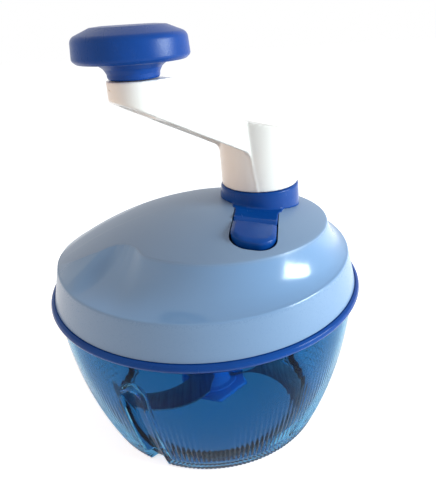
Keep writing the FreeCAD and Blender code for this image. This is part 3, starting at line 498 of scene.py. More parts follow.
cover = {
    "domeX": 10.4, "domeY": -8.9, "domeZ": -38.2, "domeRadius": 165.1,
    "ridgeX": 10.3, "ridgeY": -5.0, "ridgeRadius": 55.5,
    "edgeRadius": 78.25, "edgeHeight": 100.6, "footRadius": 82.4, "footHeight": 83.75, "wall": 2.2,
    "hollow": 0.65, "ridgeSoft": 0.22, "edgeSoft": 0.9,
    "terraceStart": (-173, -160), "terraceEnd": (35, 100), "hollowStart": (-151, -141),
    "deeper": 0.12, "deeperTurns": (-112, -128), "hookBlend": 12, "backTurn": 150,
    "leastTerrace": 4.0, "domeCrowd": 1.6, "terraceCrowd": 1.25,
}

# The ridge leaves its circle in a hook at the left: (azimuth, distance from the bowl's axis)
hook = [(-176.0, 79.2), (-168.0, 76.5), (-160.0, 69.5), (-154.0, 61.0), (-150.7, 57.3), (-148.6, 53.6),
        (-144.8, 50.2), (-140.0, 48.5), (-135.8, 48.1), (-131.0, 48.7)]


def domeHeight(x, y):
    off = (x - cover["domeX"]) ** 2 + (y - cover["domeY"]) ** 2
    return cover["domeZ"] + math.sqrt(cover["domeRadius"] ** 2 - off)


def circleDistance(azimuth):
    east, north = polar(1.0, azimuth)
    along = cover["ridgeX"] * east + cover["ridgeY"] * north
    across = cover["ridgeX"] * north - cover["ridgeY"] * east
    return along + math.sqrt(cover["ridgeRadius"] ** 2 - across ** 2)


def ridgeDistance(azimuth):
    # behind, the circle eases into the hook's first point; at the left it follows the hook
    firstTurn, firstDistance = hook[0]
    lastTurn, lastDistance = hook[-1]
    if azimuth < firstTurn:
        azimuth += 360
    if azimuth >= cover["backTurn"]:
        share = ease(cover["backTurn"], firstTurn + 360, azimuth)
        return circleDistance(azimuth) * (1 - share) + firstDistance * share
    if azimuth >= lastTurn:
        share = ease(lastTurn, lastTurn + cover["hookBlend"], azimuth)
        return circleDistance(azimuth) + (lastDistance - circleDistance(lastTurn)) * (1 - share)
    for (left, low), (right, high) in zip(hook, hook[1:]):
        if left <= azimuth <= right:
            return low + (high - low) * (azimuth - left) / (right - left)
    return firstDistance


def coverHeight(distance, azimuth):
    # the top of the cover: the lower of the dome and the hollow terrace, with a soft ridge between them
    x, y = polar(distance, azimuth)
    dome = domeHeight(x, y)
    inner = min(ridgeDistance(azimuth), cover["edgeRadius"] - 1.0)
    ridge = domeHeight(*polar(inner, azimuth))
    share = (cover["edgeRadius"] - distance) / (cover["edgeRadius"] - inner)
    full = ease(*cover["hollowStart"], azimuth) if azimuth < 0 else 1.0
    hollow = (cover["hollow"] + cover["deeper"] * ease(*cover["deeperTurns"], azimuth)) * full
    rise = (1 - hollow) * share + hollow * max(share, 0.0) ** 3
    terrace = cover["edgeHeight"] + (ridge - cover["edgeHeight"]) * rise
    window = ease(*cover["terraceStart"], azimuth) * (1 - ease(*cover["terraceEnd"], azimuth))
    low = dome - window * (dome - terrace)
    soft = cover["ridgeSoft"]
    gap = (dome - low) / soft
    farApart = 30
    if abs(gap) > farApart:
        return min(low, dome)
    return low - soft * math.log(math.exp(-gap) + 1)


def skirtRadius(height):
    slope = (cover["footRadius"] - cover["edgeRadius"]) / (cover["edgeHeight"] - cover["footHeight"])
    return cover["edgeRadius"] + slope * (cover["edgeHeight"] - height)


def edgePlace(azimuth):
    # where the top meets the skirt
    radius = cover["edgeRadius"]
    for _ in range(4):
        radius = skirtRadius(coverHeight(radius, azimuth))
    return radius


def coverRow(azimuth, row, rows):
    # from the middle to the ridge, over the terrace, round the edge and down the skirt
    ridge = min(ridgeDistance(azimuth), cover["edgeRadius"] - cover["leastTerrace"])
    edge = edgePlace(azimuth)
    toRidge, toEdge, bend, down = rows
    if row <= toRidge:
        share = row / toRidge
        distance = ridge * (1 - (1 - share) ** cover["domeCrowd"])
        return distance, coverHeight(distance, azimuth)
    if row <= toRidge + toEdge:
        share = (row - toRidge) / toEdge
        distance = ridge + (edge - cover["edgeSoft"] - ridge) * share ** cover["terraceCrowd"]
        return distance, coverHeight(distance, azimuth)
    top = coverHeight(edge - cover["edgeSoft"], azimuth)
    low = top - cover["edgeSoft"] * 1.1
    if row <= toRidge + toEdge + bend:
        share = (row - toRidge - toEdge) / bend
        start = Vector((edge - cover["edgeSoft"], top))
        corner = Vector((skirtRadius(top), top))
        end = Vector((skirtRadius(low), low))
        spot = start * (1 - share) ** 2 + corner * 2 * share * (1 - share) + end * share ** 2
        return spot.x, spot.y
    share = (row - toRidge - toEdge - bend) / down
    height = low + (cover["footHeight"] - low) * share
    return skirtRadius(height), height


def tongueOutline(half, start, end, corner, steps=10, startCorner=0.6):
    # outline in the tongue's own directions, anticlockwise from the start's right corner
    spots = []
    for centre, radius, first in (((start + startCorner, -half + startCorner), startCorner, 180),
                                  ((end - corner, -half + corner), corner, 270),
                                  ((end - corner, half - corner), corner, 0),
                                  ((start + startCorner, half - startCorner), startCorner, 90)):
        for step in range(steps + 1):
            off = polar(radius, first + 90 * step / steps)
            spots.append((centre[0] + off[0], centre[1] + off[1]))
    return spots


def makeCoverShell():
    size = {"columns": 720, "rows": (26, 26, 4, 8), "holeRadius": 18.45, "neckHalf": 11.1, "padHalf": 11.15,
            "neckStart": 14.0, "padStart": 36.3, "padEnd": 58.3, "padCorner": 9.4,
            "neckCorner": 0.5, "neckPast": 4, "pillarCircle": 71.0, "pillarTurn": 35.0,
            "pillarRadius": 3.6, "pillarFoot": 83.0, "boreRadius": 1.25, "boreTop": 92.5,
            "pillarSunk": 0.8, "holeLow": 95, "slotLow": 100, "cutTop": 140}
    total = sum(size["rows"])

    def place(u, v):
        azimuth = 360 * u - 180
        distance, height = coverRow(azimuth, round(v * total), size["rows"])
        return (*polar(distance, azimuth), height)

    piece = wrapGrid("coverShell", size["columns"], total, place)
    cleanUp(piece)
    # faces of the open cap point up and out before it gets its wall
    if sum(face.normal.z for face in piece.data.polygons) < 0:
        choose(piece)
        bpy.ops.object.mode_set(mode="EDIT")
        bpy.ops.mesh.select_all(action="SELECT")
        bpy.ops.mesh.flip_normals()
        bpy.ops.object.mode_set(mode="OBJECT")
    modify(piece, "SOLIDIFY", thickness=cover["wall"] * mm, offset=-1, use_even_offset=True)
    hole = turnPiece("collarHole", [
        (0, size["holeLow"]), (size["holeRadius"], size["holeLow"]),
        (size["holeRadius"], size["cutTop"]), (0, size["cutTop"])], crankAxis, 96)
    combine(piece, hole, "DIFFERENCE")
    neckEnd = size["padStart"] + size["neckPast"]
    neckSlot = tongueOutline(size["neckHalf"], size["neckStart"], neckEnd, size["neckCorner"])
    padSlot = tongueOutline(size["padHalf"], size["padStart"], size["padEnd"], size["padCorner"])
    for name, outline in (("neckSlot", neckSlot), ("padSlot", padSlot)):
        slot = prism(name, outline, "z", size["slotLow"], size["cutTop"])
        combine(piece, ontoTongue(slot), "DIFFERENCE")
    # the screw pillars join last, because the cuts can lose a loose part of the mesh
    for quarter in range(4):
        turn = size["pillarTurn"] + 90 * quarter - (360 if quarter > 1 else 0)
        at = polar(size["pillarCircle"], turn)
        skin = coverHeight(size["pillarCircle"] + size["pillarRadius"], turn)
        top = skin - cover["wall"] * size["pillarSunk"]
        pillar = turnPiece("pillar", [
            (size["boreRadius"], size["pillarFoot"]), (size["pillarRadius"], size["pillarFoot"]),
            (size["pillarRadius"], top), (0.0, top), (0.0, size["boreTop"]),
            (size["boreRadius"], size["boreTop"])], at, 24)
        piece = joinPieces(pillar, piece)
    markGloss(piece)
    finishPiece(piece, "coverShell", "cover", "cover_grey_blue", ["cover_shell"], 30)


def markGloss(piece):
    # the terrace and the skirt shine, the dome is satin
    size = {"ridgeBand": (-0.4, 0.8), "leftFade": (-176, -150), "backFade": (60, 110), "backShare": 0.6,
            "edgeBand": (77.6, 78.6), "edgeShare": 0.45, "skirtBand": (76, 78), "skirtShare": 0.55,
            "skirtBelow": 3.0, "skirtAbove": 0.5}
    skirtTop = cover["edgeHeight"]
    marks = piece.data.attributes.new("glossy", "FLOAT", "POINT")
    for vertex in piece.data.vertices:
        x, y, z = vertex.co / mm
        azimuth = math.degrees(math.atan2(y, x))
        distance = math.hypot(x, y)
        off = distance - min(ridgeDistance(azimuth), cover["edgeRadius"])
        share = ease(*size["ridgeBand"], off)
        if azimuth < 0:
            fade = ease(*size["leftFade"], azimuth)
        else:
            fade = 1 - size["backShare"] * ease(*size["backFade"], azimuth)
        below = 1 - ease(skirtTop - size["skirtBelow"], skirtTop + size["skirtAbove"], z)
        skirt = size["skirtShare"] * below * ease(*size["skirtBand"], distance)
        terrace = share * fade * (1 - size["edgeShare"] * ease(*size["edgeBand"], distance))
        marks.data[vertex.index].value = max(terrace, skirt)


makeCoverShell()
print("cover shell modelled")


def makeCoverBase():
    size = {
        "section": [        # (radius, height, rounding)
            (10.5, 78.5), (13.7, 78.5, 0.4), (13.7, 80.5, 0.4),             # well of the pinion's bush
            (76.9, 80.5, 0.8), (76.9, 75.2, 0.4), (78.9, 75.2, 0.7),        # floor and plug
            (79.2, 79.7, 0.3), (83.2, 79.7, 0.6), (84.6, 80.3, 1.0),        # bead from below
            (85.0, 81.6, 1.2), (84.3, 83.1, 0.9), (83.1, 83.7, 0.5),        # bead's round
            (82.6, 83.45, 0.2), (79.2, 83.45, 0.2), (79.2, 86.6, 0.4),      # seat of the skirt
            (77.4, 86.6, 0.4), (77.4, 82.9, 0.8), (13.7, 82.9, 0.8),        # upstand and floor
            (13.7, 88.7, 0.4), (10.5, 88.7)],
        "reach": 84.98, "bossBore": 8.05, "bossRadius": 11.25, "bossFoot": 82.0, "bossSeat": 82.5,
        "bossTop": 88.7, "postReach": 39.5, "postRadius": 4.3, "postTipRadius": 4.0, "postFoot": 81.5,
        "postTop": 98.0}
    section = [(min(x, size["reach"]), z) for x, z in softLine(size["section"], 5)]
    base = turnPiece("coverBase", section, steps=256)
    boss = turnPiece("spindleBoss", softLine([
        (size["bossBore"], size["bossSeat"]), (size["bossBore"], size["bossTop"]),
        (size["bossRadius"], size["bossTop"], 0.4), (size["bossRadius"], size["bossFoot"]),
        (size["bossBore"], size["bossFoot"])]), crankAxis, 64)
    along = polar(size["postReach"], layout["tongueTurn"])
    post = turnPiece("springPost", softLine([
        (0, size["postFoot"]), (size["postRadius"], size["postFoot"]),
        (size["postTipRadius"], size["postTop"], 0.3), (0, size["postTop"])]),
        (crankAxis[0] + along[0], crankAxis[1] + along[1]), 48)
    base = joinPieces(boss, post, base)
    finishPiece(base, "coverBase", "cover", "trim_blue", ["cover_base"], 35)


makeCoverBase()


def layOnDome(piece):
    # heights in the mesh are read as heights above the dome
    for vertex in piece.data.vertices:
        vertex.co.z += domeHeight(vertex.co.x / mm, vertex.co.y / mm) * mm


def makeCollar():
    size = {"top": 133.4, "radius": 20.5, "flare": 0.8, "bore": 16.05, "spigot": 18.38, "bottom": 113.0,
            "seat": 122.0, "neckHalf": 10.9, "neckEndHalf": 10.5, "neckStart": 15.9, "neckEnd": 36.2,
            "neckRise": 0.35, "neckDepth": 2.3, "filletEnd": 23.2, "neckCuts": 24,
            "neckFootHalf": 13.0, "fillet": [(21.0, -12.4), (21.9, -11.5)],
            "crest": 0.45, "crestReach": (29.0, 33.2), "drop": 1.15, "dropReach": (33.4, 36.2),
            "windowStart": 13.6, "windowEnd": 23.2, "windowHalf": 5.0, "windowLow": 115.4, "grain": 0.42}
    rows = softLine([(size["bore"], size["bottom"]), (size["spigot"], size["bottom"], 0.4),
                     (size["spigot"], size["seat"]), (size["radius"] + size["flare"], size["seat"]),
                     (size["radius"], size["top"], 0.7), (size["bore"], size["top"], 0.5),
                     (size["bore"], size["bottom"])], 4)

    def place(u, v):
        x, y = polar(1.0, 360 * u)
        radius, height = rows[round(v * (len(rows) - 1))]
        x, y = crankAxis[0] + x * radius, crankAxis[1] + y * radius
        if abs(height - size["seat"]) < 0.01:
            # the flare's foot lies on the dome
            height = domeHeight(x, y) + 0.02
        return x, y, height

    ring = wrapGrid("collar", 160, len(rows) - 1, place)
    cleanUp(ring)
    neck = wrapNeck(size)
    combine(ring, neck, "UNION")
    start, end, half = size["windowStart"], size["windowEnd"], size["windowHalf"]
    window = prism("hookWindow", [(start, -half), (end, -half), (end, half), (start, half)],
                   "z", size["windowLow"], size["seat"])
    combine(ring, ontoTongue(window), "DIFFERENCE")
    moulded(ring, size["grain"], 5)
    finishPiece(ring, "crankCollar", "cover", "trim_blue", ["crank_collar"], 40)


def wrapNeck(size):
    # a plate that follows the dome, with a fillet at the collar and a crest before its end
    right = [(size["neckStart"], -size["neckFootHalf"]), *size["fillet"],
             (size["filletEnd"], -size["neckHalf"]), (size["neckEnd"], -size["neckEndHalf"])]
    neck = prism("neck", right + [(reach, -side) for reach, side in reversed(right)],
                 "z", -size["neckDepth"], size["neckRise"])
    choose(neck)
    bpy.ops.object.mode_set(mode="EDIT")
    for cut in range(1, size["neckCuts"]):
        reach = size["neckStart"] + (size["neckEnd"] - size["neckStart"]) * cut / size["neckCuts"]
        bpy.ops.mesh.select_all(action="SELECT")
        bpy.ops.mesh.bisect(plane_co=(reach * mm, 0, 0), plane_no=(1, 0, 0))
    bpy.ops.object.mode_set(mode="OBJECT")
    for vertex in neck.data.vertices:
        reach = vertex.co.x / mm
        if vertex.co.z > 0:
            crest = size["crest"] * ease(*size["crestReach"], reach)
            vertex.co.z += (crest - size["drop"] * ease(*size["dropReach"], reach)) * mm
    ontoTongue(neck)
    layOnDome(neck)
    return neck


makeCollar()


def makeReleaseKey():
    size = {"half": 10.5, "start": 36.7, "end": 55.8, "corner": 8.8, "rise": 0.1, "lift": 2.4, "depth": 2.2,
            "rim": 1.3, "padRise": 0.45, "padSoft": 0.5, "liftBefore": 8, "liftPast": 4, "grain": 0.36,
            "leverHalf": 4.0, "leverSoft": 0.35, "pinBore": 1.55, "boreHalf": 6}
    outline = tongueOutline(size["half"], size["start"], size["end"], size["corner"],
                            steps=14, startCorner=0.9)
    pad = prism("pad", outline, "z", -size["depth"], size["rise"])
    softenEdges(pad, size["padSoft"], 50)
    choose(pad)
    bpy.ops.object.mode_set(mode="EDIT")
    bpy.ops.mesh.select_all(action="DESELECT")
    bpy.ops.object.mode_set(mode="OBJECT")
    for face in pad.data.polygons:
        face.select = face.normal.z > 0.99
    bpy.ops.object.mode_set(mode="EDIT")
    bpy.ops.mesh.select_mode(type="FACE")
    bpy.ops.mesh.inset(thickness=size["rim"] * mm, depth=size["padRise"] * mm)
    bpy.ops.object.mode_set(mode="OBJECT")
    liftStart, liftEnd = size["start"] - size["liftBefore"], size["end"] + size["liftPast"]
    for vertex in pad.data.vertices:
        if vertex.co.z > -size["padSoft"] * mm:
            vertex.co.z += size["lift"] * mm * ease(liftStart, liftEnd, vertex.co.x / mm)
    ontoTongue(pad)
    moulded(pad, size["grain"], 3)
    layOnDome(pad)
    pivot, high = layout["keyPivot"], layout["keyPivotHeight"]
    lever = prism("lever", [
        (46, 122.6), (38, 123.8), (38, high + 16), (pivot + 4, high + 6),               # under the pad
        (pivot - 0.5, high + 8), (pivot - 2.5, 119.6), (15.1, 119.6), (15.1, 116.8),    # hook
        (pivot - 5.1, 116.6), (pivot - 5.1, high + 8), (pivot - 3.6, high),             # its back
        (pivot - 2.5, high - 3.4), (pivot + 3.5, high - 3.4), (pivot + 6, high - 1),    # eye of the pin
        (46, high + 12.5)], "y", -size["leverHalf"], size["leverHalf"])
    ring = [polar(size["pinBore"], 15 * step) for step in range(24)]
    bore = prism("leverBore", [(pivot + x, high + z) for x, z in ring],
                 "y", -size["boreHalf"], size["boreHalf"])
    combine(lever, bore, "DIFFERENCE")
    softenEdges(lever, size["leverSoft"], 40)
    ontoTongue(lever)
    combine(pad, lever, "UNION")
    finishPiece(pad, "releaseKey", "release_key", "trim_blue", ["release_key"], 38)


makeReleaseKey()
print("collar and key modelled")


# Crank and knob


def crankPlan(size, wall=0.0, end=None):
    # the arm seen from above; a wall gives the room inside it
    half, tipHalf, reach = size["halfHub"] - wall, size["halfKnob"] - wall, size["reach"]
    if end is not None:
        endHalf = half + (tipHalf - half) * end / reach
        return [(0.0, -half), (end, -endHalf), (end, endHalf), (0.0, half)]
    fillet, hub = size["valley"], size["hubRadius"]
    middle = (math.sqrt((hub + fillet) ** 2 - (half + fillet) ** 2), -half - fillet)
    first = math.degrees(math.atan2(-middle[1], -middle[0]))
    low = [(0.0, -hub)] + [polar(hub, -90 + step * 8) for step in range(1, 4)]
    for step in range(9):
        off = polar(fillet, first + (90 - first) * step / 8)
        low.append((middle[0] + off[0], middle[1] + off[1]))
    start = low[-1][0]
    for share in (step / 12 for step in range(1, 12)):
        low.append((start + (reach - start) * share, -half + (half - tipHalf) * share))
    tip = [(reach + x, y) for x, y in (polar(tipHalf, -90 + 180 * step / 24) for step in range(25))]
    return low + tip + [(x, -y) for x, y in reversed(low)]


def draftSides(piece, size):
    # the arm is wider below than above near the hub, as it comes out of a mould
    for vertex in piece.data.vertices:
        s, _, z = vertex.co / mm
        fade = 1 - size["draftLost"] * ease(size["draftStart"], size["reach"], s)
        draft = size["draft"] * (z - size["bottom"]) * fade
        vertex.co.y *= 1 - draft / size["halfHub"]
    return piece


def makeCrank():
    size = {"hubRadius": 19.9, "hubFlare": 0.8, "bottom": 133.6, "reach": 67.1, "rise": 0.506,
            "under": 145.45, "thick": 15.2, "faceReach": 14.2, "faceLean": 0.125, "halfHub": 14.0,
            "halfKnob": 11.75, "valley": 7.0, "draft": 0.075, "draftStart": 10, "draftLost": 0.9,
            "wall": 2.3, "skin": 2.4, "postTop": 193.0, "crown": [(4.0, 2.2), (-6.0, 5.2), (-14.0, 9.2)],
            "hubBack": 154.0, "hubTop": 192, "aside": 24, "past": 2, "cutLow": 130, "cutTop": 200,
            "roomLow": 128, "spigotRadius": 15.95, "spigotFoot": 114.4, "spigotTop": 134.5,
            "grooveRadius": 14.65, "grooveLow": 115.9, "grooveTop": 120.5, "socketHalf": 5.05, "socketLow": 112,
            "socketTop": 152, "clipRadius": 7.3, "clipLow": 170, "clipTop": 184.9, "boreRadius": 4.05,
            "boreTop": 195, "markHalf": 1.1, "markLow": 189.6, "markTop": 190.2, "markStart": 78.45,
            "markEnd": 80.0, "grain": 0.5}
    tip = size["reach"] + size["halfKnob"]
    corner = ((size["faceReach"] + size["faceLean"] * (size["under"] - size["bottom"]))
              / (1 - size["faceLean"] * size["rise"]))
    line = size["under"] + size["thick"]
    boss = size["reach"] - size["halfKnob"]
    foot = -size["hubRadius"] - size["past"]
    crownTop = line + size["rise"] * size["faceReach"]
    crown = [(size["faceReach"], crownTop)] + [(reach, crownTop - drop) for reach, drop in size["crown"]]
    crown.append((foot, size["hubBack"]))
    body = prism("arm", softLine([
        (foot, size["bottom"]), (size["faceReach"], size["bottom"]),
        (corner, size["under"] + size["rise"] * corner, 6.0),
        (tip, size["under"] + size["rise"] * tip), (tip, size["postTop"]), (boss, size["postTop"], 0.5),
        (boss, line + size["rise"] * boss, 1.5)] + crown, 8), "y", -size["aside"], size["aside"])
    plan = prism("plan", crankPlan(size), "z", size["cutLow"], size["cutTop"])
    combine(body, draftSides(plan, size), "INTERSECT")
    end = boss + size["wall"]
    room = prism("room", [(0.0, size["cutLow"]), (end, size["cutLow"]),
                          (end, line - size["skin"] + size["rise"] * end), (0.0, line - size["skin"])],
                 "y", -size["aside"], size["aside"])
    roomPlan = prism("roomPlan", crankPlan(size, size["wall"], end), "z", size["roomLow"], size["cutTop"])
    combine(room, draftSides(roomPlan, size), "INTERSECT")
    combine(body, room, "DIFFERENCE")
    hub = turnPiece("hub", [(0, size["bottom"]), (size["hubRadius"], size["bottom"]),
                            (size["hubRadius"] + size["hubFlare"], size["hubTop"]), (0, size["hubTop"])],
                    steps=160)
    ahead = size["hubRadius"] + size["past"]
    hubSide = prism("hubSide", [(foot, size["bottom"]), (ahead, size["bottom"]),
                                (ahead, line + size["rise"] * ahead)] + crown,
                    "y", -size["aside"], size["aside"])
    combine(hub, hubSide, "INTERSECT")
    combine(body, hub, "UNION")
    spigot = turnPiece("spigot", [
        (0, size["spigotFoot"]), (size["spigotRadius"], size["spigotFoot"]),
        (size["spigotRadius"], size["grooveLow"]), (size["grooveRadius"], size["grooveLow"]),
        (size["grooveRadius"], size["grooveTop"]), (size["spigotRadius"], size["grooveTop"]),
        (size["spigotRadius"], size["spigotTop"]), (0, size["spigotTop"])], steps=96)
    combine(body, spigot, "UNION")
    flats = [polar(size["socketHalf"] / math.cos(math.pi / 6), 60 * step) for step in range(6)]
    combine(body, prism("socket", flats, "z", size["socketLow"], size["socketTop"]), "DIFFERENCE")
    bore = turnPiece("bore", [
        (0, size["clipLow"]), (size["clipRadius"], size["clipLow"]), (size["clipRadius"], size["clipTop"]),
        (size["boreRadius"], size["clipTop"]), (size["boreRadius"], size["boreTop"]),
        (0, size["boreTop"])], (size["reach"], 0.0), 48)
    combine(body, bore, "DIFFERENCE")
    moulded(body, size["grain"], 8)
    half, low, high = size["markHalf"], size["markLow"], size["markTop"]
    mark = prism("tipMark", [(-half, low), (half, low), (half, high), (-half, high)],
                 "x", size["markStart"], size["markEnd"])
    combine(body, mark, "DIFFERENCE")
    moveTo(body, crankAxis, layout["crankTurn"])
    finishPiece(body, "crankArm", "crank", "crank_white", ["crank_arm"], 45)


makeCrank()


def makeKnob():
    size = {"section": [        # (radius, height, rounding)
        (4.0, 193.4), (10.4, 193.4, 0.4), (10.85, 194.2, 0.5), (11.0, 195.6, 1.0),          # neck
        (12.1, 197.6, 2.0), (14.7, 199.5, 1.5), (16.5, 199.8, 0.3), (16.8, 200.15, 0.2),    # its flare
        (22.2, 200.02, 1.3), (23.95, 201.5, 1.6), (23.25, 209.8, 3.2),                      # brim
        (15.2, 213.05, 2.6), (11.0, 213.38, 2.0), (0.0, 213.2),                             # crown
        (0.0, 208.4), (4.0, 208.4)]}                                                        # end of the bore
    piece = turnPiece("knob", softLine(size["section"], 6), knobAxis, 144)
    finishPiece(piece, "crankKnob", "knob", "knob_blue", ["knob"], 40)


makeKnob()
print("crank and knob modelled")


# Bowl

bowl = {
    "arc": 228.7, "footRadius": 65.2, "footHeight": 0.4, "rimRadius": 81.75, "rimHeight": 79.6, "wall": 2.2,
    "ribs": 180, "ribDepth": 0.55, "ribTop": 64.0, "fluteTurns": (-119.0, 61.0), "fluteHalf": 5.75,
    "fluteTop": 62.0, "fluteDepth": 4.0, "fluteSide": 2.3, "fluteSpan": 12, "fluteGrow": 0.8,
    "ribFoot": 4.0, "finest": 0.03, "rimSoft": 0.7,
}


def bowlRadius(height):
    # the wall is an arc from the foot to the rim
    low = Vector((bowl["footRadius"], bowl["footHeight"]))
    high = Vector((bowl["rimRadius"], bowl["rimHeight"]))
    chord = high - low
    middle = (low + high) / 2
    away = Vector((-chord.y, chord.x)).normalized()
    centre = middle + away * math.sqrt(bowl["arc"] ** 2 - (chord.length / 2) ** 2)
    return centre.x + math.sqrt(bowl["arc"] ** 2 - (height - centre.y) ** 2)


def fluteShare(azimuth, height, radius, grow=0.0):
    # 1 in the flute's floor, 0 outside it
    best = 0.0
    for turn in bowl["fluteTurns"]:
        off = (azimuth - turn + 180) % 360 - 180
        if abs(off) > bowl["fluteSpan"]:
            continue
        across = math.radians(off) * radius
        half = bowl["fluteHalf"] + grow
        above = max(height - (bowl["fluteTop"] - bowl["fluteHalf"]), 0.0)
        inside = half - math.hypot(across, above)
        best = max(best, ease(0.0, bowl["fluteSide"], inside))
    return best


def outerWall(azimuth, height):
    radius = bowlRadius(height)
    flute = fluteShare(azimuth, height, radius)
    wave = abs(math.cos(math.radians(azimuth) * bowl["ribs"] / 2))
    fade = 1 - ease(bowl["ribFoot"], bowl["ribTop"], height)
    deep = bowl["ribDepth"] * fade * (1 - flute) + bowl["finest"]
    return radius - deep * (1 - wave) - bowl["fluteDepth"] * flute


def innerDent(azimuth, height, radius):
    # the flute stands out inside, wider by most of the wall
    return bowl["fluteDepth"] * fluteShare(azimuth, height, radius, bowl["wall"] * bowl["fluteGrow"])


def innerWall(azimuth, height):
    radius = bowlRadius(height)
    return radius - bowl["wall"] - innerDent(azimuth, height, radius)


def makeBowl():
    size = {"columns": 720, "floor": 4.6, "bossRadius": 6.5, "bossTop": 9.0,
            "pinRadius": 2.5, "pinSeat": 3.2, "footIn": 59.0, "grooveIn": 54.2, "grooveTop": 1.8,
            "recessRadius": 53.0, "recess": 2.2, "fillet": 4.0, "footSoft": 0.5, "lipSoft": 0.3,
            "row": 1.6, "rows": 33, "fineRow": 0.8, "fineRows": 13, "rings": (40.0, 20.0),
            "rimRows": [64.5, 67.0, 70.0, 73.0, 76.0, 78.9]}
    # rows are close where the flute ends, and wide above it
    heights = [bowl["footHeight"] + size["footSoft"] + size["row"] * step for step in range(size["rows"])]
    heights += [heights[-1] + size["fineRow"] * step for step in range(1, size["fineRows"] + 1)]
    heights = sorted(heights + size["rimRows"], reverse=True)
    rimIn = bowl["rimRadius"] - bowl["wall"] + bowl["rimSoft"]
    rimOut = bowl["rimRadius"] - bowl["rimSoft"]

    def outerPlace(u, v):
        azimuth = 360 * u - 180
        row = round(v * (len(heights) + 3))
        if row < 2:
            return (*polar((rimIn, rimOut)[row], azimuth), bowl["rimHeight"])
        if row < len(heights) + 2:
            return (*polar(outerWall(azimuth, heights[row - 2]), azimuth), heights[row - 2])
        footOut = outerWall(azimuth, bowl["footHeight"] + 0.4) - size["footSoft"]
        foot = (footOut, size["footIn"])[row - len(heights) - 2]
        return (*polar(foot, azimuth), bowl["footHeight"])

    outer = wrapGrid("bowlOuter", size["columns"], len(heights) + 3, outerPlace)
    low, lip, soft = bowl["footHeight"], size["lipSoft"], size["footSoft"]
    wide, narrow = size["rings"]
    # the groove of the rubber ring, the recess under the floor, the pin's hole and boss, and the floor
    bottom = [(size["footIn"], low), (size["footIn"], size["grooveTop"]),
              (size["grooveIn"], size["grooveTop"]), (size["grooveIn"], low),
              (size["recessRadius"] + lip, low), (size["recessRadius"], low + lip),
              (size["recessRadius"], size["recess"] - 0.4), (size["recessRadius"] - soft, size["recess"]),
              (wide, size["recess"]), (narrow, size["recess"]), (0.0, size["recess"]),
              (0.0, size["pinSeat"]), (size["pinRadius"], size["pinSeat"]),
              (size["pinRadius"], size["bossTop"]), (size["bossRadius"] - soft, size["bossTop"]),
              (size["bossRadius"], size["bossTop"] - soft), (size["bossRadius"], size["floor"] + 1.0),
              (size["bossRadius"] + 1.0, size["floor"]), (narrow, size["floor"]), (wide, size["floor"])]
    fillet, floor = size["fillet"], size["floor"]
    floorEdge = bowlRadius(floor + fillet) - bowl["wall"]
    corner = []
    for step in range(7):
        turn = math.radians(-90 + 80 * step / 6)
        corner.append((floorEdge - fillet * (1 - math.cos(turn)), floor + fillet * (1 + math.sin(turn))))
    climb = sorted(height for height in heights if height > floor + fillet)
    innerRows = [("plain", point) for point in bottom] + [("corner", point) for point in corner]
    innerRows += [("wall", (0.0, height)) for height in climb] + [("rim", (0.0, 0.0))]

    def innerPlace(u, v):
        azimuth = 360 * u - 180
        kind, point = innerRows[round(v * (len(innerRows) - 1))]
        if kind == "plain":
            return (*polar(point[0], azimuth), point[1])
        if kind == "rim":
            return (*polar(rimIn, azimuth), bowl["rimHeight"])
        if kind == "wall":
            return (*polar(innerWall(azimuth, point[1]), azimuth), point[1])
        return (*polar(point[0] - innerDent(azimuth, point[1], point[0]), azimuth), point[1])

    inner = wrapGrid("bowlInner", size["columns"], len(innerRows) - 1, innerPlace)
    piece = joinPieces(outer, inner)
    cleanUp(piece)
    finishPiece(piece, "bowlClear", "bowl", "bowl_clear", ["bowl"], 50)


makeBowl()
print("bowl modelled")


# Blade unit


def makeCarrier():
    size = {"corner": 22.5, "low": 5.3, "high": 8.3, "soft": 1.4, "column": 8.4, "columnFoot": 6.0,
            "columnTop": 66.5, "padRadius": 15.0, "padRise": 0.9, "footRadius": 12.0, "footRise": 1.1,
            "footTop": 16.3, "square": 4.5, "squareFoot": 60, "squareTop": 83.0, "squareSoft": 0.5,
            "roomFoot": 2, "boss": 7.3, "bossTop": 9.8, "bush": 4.55, "pinTop": 21.55}
    plate = prism("plate", [polar(size["corner"], layout["bladeTurn"] * 4 + 60 * step) for step in range(6)],
                  "z", size["low"], size["high"])
    softenEdges(plate, size["soft"], 50, 4)
    column = turnPiece("column", softLine([
        (0, size["columnFoot"]), (size["padRadius"], size["columnFoot"]),
        (size["padRadius"], size["high"] + size["padRise"], 0.5),
        (size["footRadius"], size["high"] + size["footRise"], 0.8), (size["column"], size["footTop"], 4.0),
        (size["column"], size["columnTop"], 0.8), (0, size["columnTop"])]), steps=72)
    combine(plate, column, "UNION")
    half = size["square"]
    square = prism("square", [(-half, -half), (half, -half), (half, half), (-half, half)],
                   "z", size["squareFoot"], size["squareTop"])
    softenEdges(square, size["squareSoft"], 40)
    moveTo(square, (0, 0), layout["bladeTurn"])
    combine(plate, square, "UNION")
    room = turnPiece("room", [
        (0, size["roomFoot"]), (size["boss"], size["roomFoot"]), (size["boss"], size["bossTop"]),
        (size["bush"], size["bossTop"]), (size["bush"], size["pinTop"]), (0, size["pinTop"])], steps=48)
    combine(plate, room, "DIFFERENCE")
    finishPiece(plate, "bladeCarrier", "blade_unit", "carrier_azure", ["blade_carrier"], 35)


makeCarrier()


